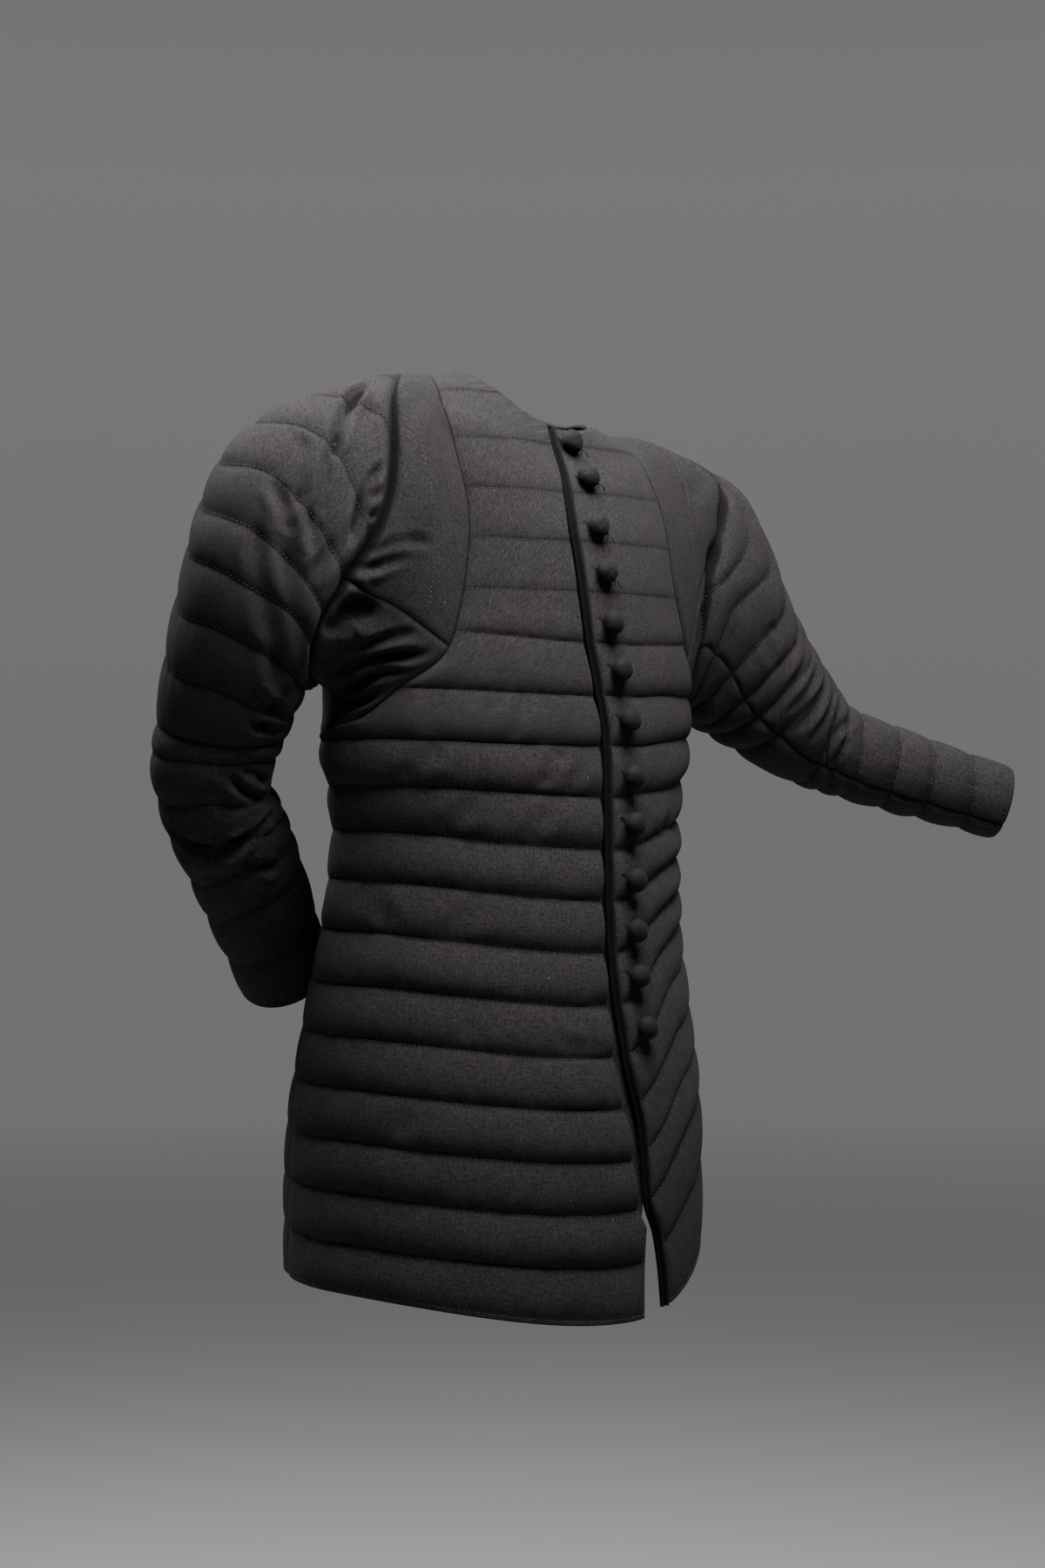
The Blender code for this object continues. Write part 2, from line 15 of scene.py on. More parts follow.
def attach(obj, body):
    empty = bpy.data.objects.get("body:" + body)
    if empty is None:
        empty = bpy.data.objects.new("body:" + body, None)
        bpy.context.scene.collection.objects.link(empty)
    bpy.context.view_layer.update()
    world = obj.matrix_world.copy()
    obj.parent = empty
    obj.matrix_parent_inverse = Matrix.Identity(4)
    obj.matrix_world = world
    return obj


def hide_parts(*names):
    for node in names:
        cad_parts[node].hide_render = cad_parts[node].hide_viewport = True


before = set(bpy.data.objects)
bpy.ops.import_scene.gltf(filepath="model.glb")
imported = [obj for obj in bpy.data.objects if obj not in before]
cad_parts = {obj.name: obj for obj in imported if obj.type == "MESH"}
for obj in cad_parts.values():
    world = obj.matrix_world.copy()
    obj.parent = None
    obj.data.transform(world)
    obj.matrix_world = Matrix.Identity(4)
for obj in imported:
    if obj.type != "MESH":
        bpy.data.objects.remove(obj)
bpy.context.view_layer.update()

# ---- driving sizes -----------------------------------------------------------------------------
WALL = 0.006             # padded cloth, from outer face to inner face
SEAM_GAP = 0.0003        # clear space between two pieces at a seam
LAP_CLEARANCE = 0.0008   # between the upper front and the front under it
BINDING_WIDTH = 0.007    # corded edge strip of the upper front
BUTTON_RADIUS = 0.0115
BUTTON_HEIGHT = 0.0160
BUTTON_INSET = 0.027     # from the upper front's edge to the line of buttons
NECK_INSET = 0.018       # the same at the neckline
NECK_INSET_ROWS = 1.5    # rows over which it widens
CUFF_BUTTON_RADIUS = 0.0065
CUFF_BUTTON_HEIGHT = 0.0060
CUFF_BUTTON_TURN = -77.0  # degrees round from the top of the arm
SIDE_SEAM = 114.0        # degrees round from the centre front, well behind the side
SIDE_TURN = 220.0        # where it meets the armhole, by direction round the arm
BACK_SEAM = -68.0        # sleeve seam behind the arm, degrees round from the top of the arm
UNDER_SEAM = 140.0       # sleeve seam below the front of the arm
GUSSET_SEAM = 96.0       # seam between the upper and the lower front gusset

# Sections of the body, one for each level, read from the hem up.
# The four heights are where that level lies at the centre front, the wearer's left side,
# the centre back and the right side; the raised left arm pulls the left side up.
BODY_COLUMNS = ("row", "z_front", "z_left", "z_back", "z_right",
                "half_width", "front", "back", "centre_x")
BODY = (
    (0.0, -0.914, -0.822, -0.872, -0.884, 0.213, 0.191, 0.199, -0.020),
    (1.5, -0.835, -0.750, -0.797, -0.815, 0.213, 0.191, 0.201, -0.019),
    (3.0, -0.762, -0.680, -0.724, -0.742, 0.210, 0.190, 0.195, -0.020),
    (5.0, -0.665, -0.603, -0.634, -0.645, 0.200, 0.182, 0.170, -0.021),
    (7.0, -0.567, -0.521, -0.541, -0.547, 0.189, 0.171, 0.145, -0.018),
    (9.0, -0.470, -0.445, -0.452, -0.452, 0.185, 0.165, 0.129, -0.014),
    (11.0, -0.372, -0.361, -0.366, -0.366, 0.205, 0.161, 0.127, -0.011),
    (12.0, -0.324, -0.320, -0.320, -0.317, 0.206, 0.156, 0.129, -0.008),
    (13.0, -0.275, -0.262, -0.262, -0.250, 0.199, 0.150, 0.131, -0.004),
    (14.0, -0.226, -0.195, -0.200, -0.175, 0.190, 0.143, 0.131, -0.002),
    (15.0, -0.178, -0.130, -0.135, -0.100, 0.180, 0.132, 0.125, 0.000),
    (16.0, -0.129, -0.085, -0.070, -0.043, 0.157, 0.113, 0.110, 0.000),
    (16.8, -0.093, -0.058, -0.028, -0.016, 0.116, 0.092, 0.090, 0.000),
    (17.4, -0.063, -0.045, -0.002, -0.004, 0.078, 0.077, 0.070, 0.000),
)
NECK_ROW = 17.4

# The two front edges: sideways place of each edge, by row.
EDGE_COLUMNS = ("row", "left_front_x", "right_front_x")
EDGES = (
    (0.0, 0.035, 0.001),
    (0.7, 0.029, 0.001),
    (1.4, 0.020, 0.003),
    (2.1, 0.005, 0.008),
    (3.5, -0.001, 0.012),
    (5.0, -0.017, 0.012),
    (7.0, -0.025, 0.014),
    (11.0, -0.022, 0.016),
    (13.5, -0.034, 0.010),
    (15.0, -0.035, 0.008),
    (16.5, -0.023, 0.010),
    (17.4, -0.017, 0.012),
)

# The armhole, cut deep into the front and the back: where it crosses the body for each
# direction round the arm (0 on top, 90 in front, 180 below, 270 behind).
ARMHOLE_COLUMNS = ("turn", "right_angle", "left_angle", "row")
ARMHOLE = (
    (0.0, 90.0, 90.0, 16.95),
    (16.0, 76.0, 72.0, 16.6),
    (32.0, 63.0, 53.0, 15.7),
    (64.0, 54.5, 48.0, 14.2),
    (96.0, 58.5, 59.0, 12.65),
    (125.0, 71.0, 71.0, 12.0),
    (160.0, 84.0, 84.0, 11.4),
    (180.0, 93.0, 93.0, 11.28),
    (200.0, 104.0, 104.0, 11.18),
    (220.0, 114.0, 114.0, 11.08),
    (238.0, 118.5, 118.5, 12.3),
    (274.0, 128.0, 128.0, 14.5),
    (310.0, 121.0, 121.0, 16.0),
    (340.0, 103.0, 103.0, 16.75),
)

# Where the sleeve proper starts: between the armhole and this line lie the gussets.
GUSSET_ENDS = (-16.0, 256.0)
GUSSET_TIP = 0.02        # ring at which the gussets taper out
SLEEVE_START_COLUMNS = ("turn", "right_ring", "left_ring")
SLEEVE_START = (
    (-16.0, 0.0, 0.0),
    (0.0, 0.5, 0.6),
    (16.0, 0.9, 1.8),
    (32.0, 1.2, 2.9),
    (64.0, 1.5, 2.25),
    (96.0, 2.8, 1.4),
    (140.0, 4.6, 0.9),
    (180.0, 3.6, 0.9),
    (220.0, 1.2, 0.6),
    (256.0, 0.0, 0.0),
)

# The elbow seam: its ring for each direction round the arm.
ELBOW_COLUMNS = ("turn", "right_ring", "left_ring")
ELBOW = (
    (-68.0, 8.2, 8.6),
    (15.0, 8.05, 8.4),
    (61.0, 7.8, 8.45),
    (106.0, 7.35, 8.8),
    (140.0, 7.05, 9.45),
    (200.0, 7.2, 9.6),
    (250.0, 7.8, 9.1),
    (292.0, 8.2, 8.6),
)

# Rings of each sleeve from the shoulder to the cuff: centre, half height along the ring's
# own upward direction, half depth from front to back, that direction's lean outward, and how
# far the ring's seams are turned round the arm beside SHIFT_CENTRE.
RING_COLUMNS = ("x", "y", "z", "half_height", "half_depth", "lean", "shift")
RIGHT_SLEEVE = (
    (-0.185, 0.000, -0.176, 0.160, 0.088, -7.0, 21.0),
    (-0.218, 0.008, -0.179, 0.143, 0.083, 3.0, 16.0),
    (-0.251, 0.016, -0.188, 0.132, 0.082, 14.0, 6.0),
    (-0.278, 0.025, -0.209, 0.117, 0.080, 26.0, 0.0),
    (-0.291, 0.038, -0.243, 0.095, 0.077, 40.0, 0.0),
    (-0.293, 0.055, -0.281, 0.080, 0.073, 55.0, 0.0),
    (-0.292, 0.078, -0.326, 0.069, 0.066, 68.0, 0.0),
    (-0.288, 0.098, -0.365, 0.060, 0.060, 80.0, 0.0),
    (-0.284, 0.111, -0.400, 0.057, 0.058, 92.0, 0.0),
    (-0.262, 0.124, -0.435, 0.056, 0.056, 112.0, 0.0),
    (-0.228, 0.142, -0.475, 0.055, 0.054, 123.0, 0.0),
    (-0.179, 0.169, -0.536, 0.052, 0.050, 127.0, 0.0),
    (-0.128, 0.198, -0.602, 0.047, 0.044, 127.0, 0.0),
)
LEFT_SLEEVE = (
    (0.186, 0.000, -0.195, 0.143, 0.088, -8.0, -17.0),
    (0.219, 0.000, -0.201, 0.137, 0.084, -1.0, -17.0),
    (0.251, 0.000, -0.209, 0.133, 0.081, 5.0, -14.0),
    (0.281, -0.002, -0.221, 0.127, 0.078, 10.0, -8.0),
    (0.304, -0.004, -0.246, 0.108, 0.075, 15.0, -3.0),
    (0.328, -0.006, -0.275, 0.088, 0.071, 20.0, 0.0),
    (0.353, -0.011, -0.303, 0.073, 0.067, 27.0, 0.0),
    (0.382, -0.017, -0.332, 0.063, 0.062, 35.0, 0.0),
    (0.413, -0.024, -0.358, 0.053, 0.056, 38.0, 0.0),
    (0.442, -0.035, -0.371, 0.047, 0.052, 30.0, 0.0),
    (0.475, -0.055, -0.384, 0.045, 0.049, 20.0, 0.0),
    (0.530, -0.092, -0.404, 0.042, 0.044, 18.0, 0.0),
    (0.598, -0.137, -0.428, 0.039, 0.038, 17.0, 0.0),
)
SHIFT_CENTRE = {-1: 96.0, 1: 140.0}
SHIFT_REACH = 45.0       # degrees over which that turning fades away
LAST_RING = len(RIGHT_SLEEVE)

ROW_BEND = 1.15          # how late a row's slope starts, away from the centre line
TANGENT_STEP = 0.05      # step in degrees, rows or rings for finding a form's normal
FIRST_PULL = (0.9, 1.0, 1.0)  # where a sleeve's path comes from, as a share of its first centre
WORDS = {-1: "right", 1: "left"}

# Buttons down the front, by row.
FRONT_BUTTON_ROWS = (17.1, 16.3, 15.3, 14.4, 13.4, 12.5, 11.5, 10.4, 9.5, 8.4, 7.4, 6.5, 5.5)
# Buttons up the back seam of each forearm, by ring.
CUFF_BUTTON_RINGS = (9.1, 9.9, 10.7, 11.4, 12.05)


# ---- forms -------------------------------------------------------------------------------------
def column(table, columns, name):
    return np.array([row[columns.index(name)] for row in table], dtype=float)


def ease(x):
    x = np.clip(x, 0.0, 1.0)
    return x * x * (3.0 - 2.0 * x)


def curve(t, here, out, there, back):
    """Cubic curve from here to there that leaves with the slope out and arrives with back."""
    return ((1.0 + 2.0 * t) * (1.0 - t) ** 2 * here + t * (1.0 - t) ** 2 * out
            + t * t * (3.0 - 2.0 * t) * there + t * t * (t - 1.0) * back)


def follow(xs, ys, x):
    """Smooth curve through (xs, ys) that never swings past the values it joins."""
    step = np.diff(xs)
    rise = np.diff(ys) / step
    slope = np.concatenate(([rise[0]], np.zeros(len(rise) - 1), [rise[-1]]))
    for i in range(1, len(rise)):
        if rise[i - 1] * rise[i] > 0.0:
            w1 = 2.0 * step[i] + step[i - 1]
            w2 = step[i] + 2.0 * step[i - 1]
            slope[i] = (w1 + w2) / (w1 / rise[i - 1] + w2 / rise[i])
    x = np.asarray(x, dtype=float)
    i = np.clip(np.searchsorted(xs, x, side="right") - 1, 0, len(step) - 1)
    t = np.clip((x - xs[i]) / step[i], 0.0, 1.0)
    return curve(t, ys[i], step[i] * slope[i], ys[i + 1], step[i] * slope[i + 1])


def read(table, columns, name, at):
    """Value of one column of a table at a place given in the table's first column."""
    return follow(column(table, columns, columns[0]), column(table, columns, name), at)


def read_round(turns, values, turn):
    """Value at a direction round the arm, given at some directions of one full turn."""
    rounds = np.concatenate((turns - 360.0, turns, turns + 360.0))
    return follow(rounds, np.tile(values, 3), turn)


def body(angle, row):
    """Outer form of the body: angle in degrees from the centre front toward the left."""
    angle, row = np.broadcast_arrays(np.asarray(angle, dtype=float), np.asarray(row, dtype=float))
    size = {name: read(BODY, BODY_COLUMNS, name, row) for name in BODY_COLUMNS[1:]}
    sine = np.sin(np.radians(angle))
    cosine = np.cos(np.radians(angle))
    depth = np.where(cosine >= 0.0, size["front"], size["back"])
    radius = ((sine / size["half_width"]) ** 2 + (cosine / depth) ** 2) ** -0.5
    side = np.where(sine >= 0.0, size["z_left"], size["z_right"])
    end = np.where(cosine >= 0.0, size["z_front"], size["z_back"])
    z = end * cosine ** 2 + side * sine ** 2
    return np.stack((size["centre_x"] + radius * sine, -radius * cosine, z), axis=-1)


def armhole(turn, side):
    """(angle, row) where the armhole crosses the body; side is +1 left, -1 right."""
    turns = column(ARMHOLE, ARMHOLE_COLUMNS, "turn")
    angles = column(ARMHOLE, ARMHOLE_COLUMNS, f"{WORDS[side]}_angle")
    rows = column(ARMHOLE, ARMHOLE_COLUMNS, "row")
    return side * read_round(turns, angles, turn), read_round(turns, rows, turn)


def ring_frames(side):
    """Centre, upward and forward half-axes and seam shift of every ring of one sleeve."""
    rings = LEFT_SLEEVE if side > 0 else RIGHT_SLEEVE
    centre = np.array([ring[:3] for ring in rings])
    path = np.gradient(np.vstack(([centre[0] * FIRST_PULL], centre)), axis=0)[1:]
    lean = np.radians(column(rings, RING_COLUMNS, "lean"))
    up = np.stack((side * np.sin(lean), np.zeros_like(lean), np.cos(lean)), axis=-1)
    forward = np.cross(up, path)
    forward /= np.linalg.norm(forward, axis=-1, keepdims=True)
    forward *= -np.sign(forward[:, 1:2])
    up *= column(rings, RING_COLUMNS, "half_height")[:, None]
    forward *= column(rings, RING_COLUMNS, "half_depth")[:, None]
    return centre, up, forward, column(rings, RING_COLUMNS, "shift")


def sleeve(turn, ring, side):
    """Outer form of a sleeve: turn round the arm, ring 0 at the armhole, LAST_RING the cuff."""
    turn, ring = np.broadcast_arrays(np.asarray(turn, dtype=float), np.asarray(ring, dtype=float))
    centre, up, forward, shift = ring_frames(side)
    shape = turn.shape
    turn = turn.ravel()
    ring = ring.ravel()
    reach = (turn - SHIFT_CENTRE[side] + 180.0) % 360.0 - 180.0
    turned = turn + shift[:, None] * np.exp(-(reach / SHIFT_REACH) ** 2)
    cosine = np.cos(np.radians(turned))[..., None]
    sine = np.sin(np.radians(turned))[..., None]
    rings = centre[:, None, :] + cosine * up[:, None, :] + sine * forward[:, None, :]
    rings = np.concatenate((body(*armhole(turn, side))[None], rings))
    slope = np.gradient(rings, axis=0)
    i = np.clip(ring.astype(int), 0, LAST_RING - 1)
    t = np.clip(ring - i, 0.0, 1.0)[:, None]
    n = np.arange(len(ring))
    points = curve(t, rings[i, n], slope[i, n], rings[i + 1, n], slope[i + 1, n])
    return points.reshape(shape + (3,))


def sleeve_start(turn, side):
    """Ring where the sleeve proper starts, for a direction round the arm."""
    turn = (np.asarray(turn, dtype=float) - BACK_SEAM) % 360.0 + BACK_SEAM
    ring = read(SLEEVE_START, SLEEVE_START_COLUMNS, f"{WORDS[side]}_ring", turn)
    ring = np.maximum(ring, GUSSET_TIP)
    return np.where((turn < GUSSET_ENDS[0]) | (turn > GUSSET_ENDS[1]), 0.0, ring)


def elbow_seam(turn, side):
    """Ring of the elbow seam, for a direction round the arm."""
    return read(ELBOW, ELBOW_COLUMNS, f"{WORDS[side]}_ring", turn)


def front_edge(row, name):
    """Angle round the body of a front's free edge."""
    x = read(EDGES, EDGE_COLUMNS, name, row)
    middle = read(BODY, BODY_COLUMNS, "centre_x", row)
    depth = read(BODY, BODY_COLUMNS, "front", row)
    return np.degrees(np.arctan2(x - middle, depth))


def cross_normals(du, dv, side=1):
    normal = np.cross(du, dv) * side
    return normal / np.linalg.norm(normal, axis=-1, keepdims=True)


def body_normal(angle, row):
    step = TANGENT_STEP
    du = body(angle + step, row) - body(angle - step, row)
    dv = body(angle, np.minimum(row + step, NECK_ROW)) - body(angle, np.maximum(row - step, 0.0))
    return cross_normals(du, dv)


def sleeve_normal(turn, ring, side):
    step = TANGENT_STEP
    du = sleeve(turn + step, ring, side) - sleeve(turn - step, ring, side)
    dv = sleeve(turn, np.minimum(ring + step, LAST_RING), side)
    dv = dv - sleeve(turn, np.maximum(ring - step, 0.0), side)
    return cross_normals(du, dv, side)


def armhole_way(turn, side):
    """Direction in which the armhole's seam stands, shared by the body and the sleeve."""
    beside = np.full(np.shape(turn), 2.0 * TANGENT_STEP)
    normal = body_normal(*armhole(turn, side)) + sleeve_normal(turn, beside, side)
    return normal / np.linalg.norm(normal, axis=-1, keepdims=True)


# ---- sizes of the visible detail --------------------------------------------------------------
# Points on the cloth.
STEP = 0.0022            # spacing of points
FRONT_STEP = 0.0027      # the same across the fronts and the back
BACK_STEP = 0.0026
EDGE_STEP = 0.0006       # spacing beside an edge, and how fast it grows away from the edge
EDGE_GROWTH = 1.5
INSIDE_STEP = 3          # every third point is kept on the inner face
FRONT_WIDTH = 0.375      # widths and lengths of the panels, by which points are spread
BACK_WIDTH = 0.43
BINDING_LENGTH = 0.86
BINDING_POINTS = 19
GUSSET_WIDTHS = (0.22, 0.26)
GUSSET_DEPTH = 0.13
BORDER_LEGS = (40, 180, 6)   # legs of a panel's side seam, its half armhole and its shoulder seam
LEVEL_SHARE = 0.9        # share of the side seam to which the rows stay level with it
EVEN_SHARE = 0.6         # how evenly they are spread above that

# Channels and the lines between them.
PITCH = 0.0487           # height of one channel
LEVEL_ROW = 13.0         # the chest's lines run level, and the line of this row is this high
LEVEL_HEIGHT = -0.274
LEVEL_START = 12.3       # row where the lines start to turn level, and over how many rows
LEVEL_FADE = 1.4
LINE_WANDER = 0.030      # how far a line strays, in channels
HEM_ROWS = 0.8           # but less than this many rows above the hem
SIDE_FLAT = 0.55         # how much flatter the channels lie behind the side seams
SIDE_FLAT_PLACE = 9.0    # how far behind them, and how broad, in degrees
SIDE_FLAT_WIDTH = 25.0
SKIRT_FLAT = 0.40        # how much flatter they lie on the left front's skirt
SKIRT_TOP = 8.5          # row where that starts, and the rows over which it grows
SKIRT_FADE = 3.0
SKIRT_FRONT = 12.0       # degrees over which that fades at the front and behind the side seam
SKIRT_SIDE = 30.0
SAG = 0.93               # below 1 the fullest part of a channel hangs below its middle
SAG_DRIFT = 0.10         # how much that varies along it, and over what length
SAG_LENGTH = 0.05
FULLNESS = 0.74          # below 1 a channel rises steeply from its seams
LOW_FULLNESS = 0.42      # share of that left in a channel no higher than LOW_RISE
LOW_RISE = 0.0015
FULL_RISE = 0.0045       # how much higher it takes to have it all
SEAM_LEVEL = 0.50        # share of a channel's rise that lies below the solid's face
LUMP = 0.16              # how much one channel's padding varies along it, and from one to the next
CHANNEL_LUMP = 0.10
LUMP_LENGTH = 0.055
PUCKER = 0.24            # small puckers along the lines: height as a share of the rise
PUCKER_REACH = 0.0085
PUCKER_LENGTHS = (0.0105, 0.024)
ELBOW_RING = 8.0         # the channels of a sleeve grow fuller below this ring, over two rings
SLEEVE_FULLNESS = {-1: (0.80, 0.45), 1: (0.92, 0.30)}  # share of their rise above, and added below
BODY_RADIUS = 0.19       # turns degrees round the body or the arm into lengths for all of these
SLEEVE_RADIUS = 0.085
GUSSET_RADIUS = 0.11
BODY_SWAY = 0.0006       # height and length of the broad waves of the cloth
BODY_SWAY_LENGTH = 0.09
SLEEVE_SWAY = 0.0007
SLEEVE_SWAY_LENGTH = 0.05
GUSSET_SWAY = 0.0009
GUSSET_SWAY_LENGTH = 0.045
GUSSET_LEVEL = 0.0008    # mean height of the plain cloth
BODY_DROOP = 0.0020      # how far the crest of a channel hangs down
SLEEVE_DROOP = 0.0012
FULL_DROOP = 0.004       # height of a channel that hangs down all of that

# Folds.
FOLD_REACH = 4.0         # widths beyond which a fold is not felt
FOLD_LEGS = 16
FOLD_END = 0.22          # share of its length over which it fades out at each end
FOLD_NARROW = 0.55       # share of its width that is left there
FOLD_UNEVEN = 0.25       # how much its depth varies along it
FOLD_LIP = 0.42          # height of the cloth pushed up beside it, as a share of its depth
LIP_PLACE = 1.75         # how far beside it that is, and how broad, in widths
LIP_WIDTH = 0.8
BODY_FOLD_SHARE = 0.75   # share of their depth that the body's stiffer folds reach
FOLD_FREE = 0.0045       # depth to which folds add up freely, and how much deeper they can go
FOLD_SPARE = 0.0045
HOLLOW = 0.0085          # depth below the cloth at which a fold's painted shade is darkest
HOLLOW_DARK = 0.8        # how dark the painted shade in the folds of a sleeve or a gusset is there
LEAST_WALL = 0.0028      # cloth drawn together in the deepest folds
INNER_SPARE = 0.0006     # how much the inner face stays inside the solid's
# How full the padding looks, from 0 on the lines to 1 on the crests; the cloth's tone follows
# it, with painted shade on the lines and below 0.  Values in the darkest hollow, in the plain cloth
# with how much it varies there, and inside.
HOLLOW_RELIEF = -0.4
GUSSET_RELIEF = (0.55, 0.3)
INSIDE_RELIEF = 0.35

# Edges.
SEAM_DIP = -0.0014       # how far the cloth is drawn in at a sewn seam
SEAM_WIDTH = 0.0085      # over which it rises again, and the same along the body's side seams
SIDE_WIDTH = 0.024
SEAM_CURVE = 2.4         # how steeply
SEAM_SHADE = 0.0034      # width of the painted shade on the cloth beside a sewn seam
HEM_WIDTH = 0.0050       # flat stitched margin along a free edge
HEM_CURVE = 0.6          # how steeply the cloth rises inside it
EDGE_RADIUS = 0.0024     # rounding of a free edge
EDGE_LEVEL = 0.0008      # height of the cloth along it
BLEND_REACH = 0.012      # over which a body panel turns to its neighbour's direction at the armhole
CORNER_FADE = 0.006      # over which that ends past the armhole's corners
BLEND_RINGS = 0.4        # rings over which a sleeve does the same
CORD_PLACE = 0.73        # where the cord lies across its strip, from the free edge in
CORD_HALF = 0.20
CORD_FOOT = -0.0032      # height of the strip beside the cord
CORD_HEIGHT = 0.0038     # height of the cord over that where a quilting line pinches it
CORD_PINCH = 0.0010      # and how much higher it is between the lines
CORD_LUMP = 0.0003
CORD_LUMP_LENGTH = 0.012
# Painted shadow on the strip outside the cord and painted shade in the groove inside it: how dark
# each is, the place where that changes across the strip, and the width of the change.
OUTSIDE_CORD = (0.72, 0.48, 0.10)
INSIDE_CORD = (0.55, 0.89, 0.06)
# Relief of the strip before the painted shadow and shade are taken off.
CORD_RELIEF = 0.3

# Stitches.
STITCH_LENGTH = 0.0025
STITCH_PITCH = 0.0047
STITCH_RADIUS = 0.00034
STITCH_SHOULDER = 0.2    # share of its length over which a stitch dives into the cloth
STITCH_STRAY = 0.0004
STITCH_INSET = 0.003     # bare length at both ends of a row
LINE_STITCHES = 0.028    # how far below a quilting line its stitches lie, in channels
EDGE_STITCHES = 0.0058   # how far from an edge its stitches lie
LEFT_GUSSET_RINGS = 1.25  # the left gusset's stitches lie this much further along the arm

# Buttons and buttonholes.
# Section of a covered button: share of its radius at each share of its height, from its shank up.
BUTTON_SECTION = ((0.32, -0.22), (0.34, 0.05), (0.60, 0.07), (0.83, 0.15), (0.955, 0.28),
                  (1.0, 0.42), (0.985, 0.54), (0.93, 0.66), (0.83, 0.77), (0.69, 0.86),
                  (0.52, 0.93), (0.33, 0.98), (0.15, 1.0))
BUTTON_TOP = 1.005
BUTTON_SIDES = 44
CUFF_BUTTON_SIDES = 28
COVER_LUMP = 0.030       # unevenness of the cover sideways, and upward for smooth and rough covers
COVER_LIFT = {False: 0.012, True: 0.026}
GATHER = 0.05            # and of the folds gathered under it
BUTTON_LIFT = 0.0012     # clear height of a button's base over the cloth
CUFF_BUTTON_LIFT = 0.0008
BUTTON_TILT = 0.06       # how far the front buttons tip, as a share of straight out
BUTTON_TRUE = 0.6        # how far they follow the body's own form and not the cloth's
BUTTON_DENT = 0.0016     # dent that a button leaves in the cloth
BUTTON_DENT_WIDTH = 0.0125
ROUGH_BUTTONS = 4        # the uppermost buttons have a rough, frayed cover
FRAYED_THREADS = 2
FRAYED_RADIUS = 0.00045
SLIT_LEAN = 27.0         # degrees by which each buttonhole is drawn up toward the edge
SLIT_FAR = -0.0128       # ends of the slit beside its button's centre
SLIT_NEAR = 0.0030
SLIT_HALF = 0.0010       # half the slit's width
SLIT_THREAD = 0.0008     # radius of the ridge of thread round it
SLIT_LIFT = 0.0002
SLIT_STEPS = 96
SLIT_SIDE = 0.44         # share of the way round it that one long side takes
THREAD_SIDES = 6

# Seeds of the uneven forms, by side of the body where there are two.
FRONT_SEEDS = {-1: 23, 1: 11}
BACK_SEED = 37
SLEEVE_SEEDS = {-1: 60, 1: 140}
GUSSET_SEEDS = {-1: 300, 1: 302}
LINE_SEEDS = {-1: 5, 1: 7}
CORD_SEED = 71
STITCH_SEED = 5
TILT_SEED = 3
FRONT_BUTTON_SEED = 400
CUFF_BUTTON_SEED = 500

# Whole numbers that scatter a place in space into an even random number.
SCATTER_SEED = (7919, 17)
SCATTER_PLACE = (73856093, 19349663, 83492791)
SCATTER_STEP = (1103515245, 12345)
LOW_BITS = 0x7FFFFFFF

# Rise of the channels from seam to crest, by row.
QUILT_COLUMNS = ("place", "rise")
BODY_QUILT = (
    (0.0, 0.0066),
    (1.5, 0.0075),
    (5.0, 0.0072),
    (9.0, 0.0070),
    (12.0, 0.0062),
    (13.0, 0.0044),
    (13.8, 0.0022),
    (19.0, 0.0017),
)

# Where the lower front falls away under the upper front: how far out from the upper front's
# edge, by row, and over how much, in degrees.
LAP_SLOPE = 2.0
LAP_SHARE = 0.075         # where that edge lies across the lower front
LAP_SPREAD = 0.040        # how far beside it the columns stand closer, and by how much
LAP_CLOSER = 1.7
LAP_EXTRA = 1.12          # how many more columns that takes
LAP_DEPTH = 0.0030        # how much lower the cloth lies under the upper front
LAP_SINK = 0.0009         # and how much more it gives way than the wall and the clearance take
LAP_FLAT = 0.95           # share of its channels that is pressed flat there
LAP_COLUMNS = ("row", "reach")
LAP = (
    (0.0, 3.6),
    (2.0, 4.0),
    (3.2, 5.2),
    (4.2, 5.6),
    (5.2, 4.6),
    (6.6, 3.2),
    (9.0, 2.7),
    (19.0, 2.7),
)

# How far the raised arm hitches the quilting lines up across the left front, in rows.
HITCH_START = 34.0        # degrees round from the front over which that grows
HITCH_END = 205.0         # degrees by which it has died away again, and over which
HITCH_FADE = 95.0
HITCH_COLUMNS = ("row", "rise")
LEFT_HITCH = (
    (0.0, 0.0),
    (1.2, 0.45),
    (2.8, 0.95),
    (6.0, 1.0),
    (8.0, 0.55),
    (10.0, 0.1),
    (12.0, 0.0),
    (19.0, 0.0),
)

# Rise of a sleeve's channels, by ring.
SLEEVE_QUILT = (
    (0.0, 0.0036),
    (2.0, 0.0050),
    (6.0, 0.0056),
    (8.0, 0.0048),
    (9.0, 0.0038),
    (12.0, 0.0034),
    (14.0, 0.0032),
)

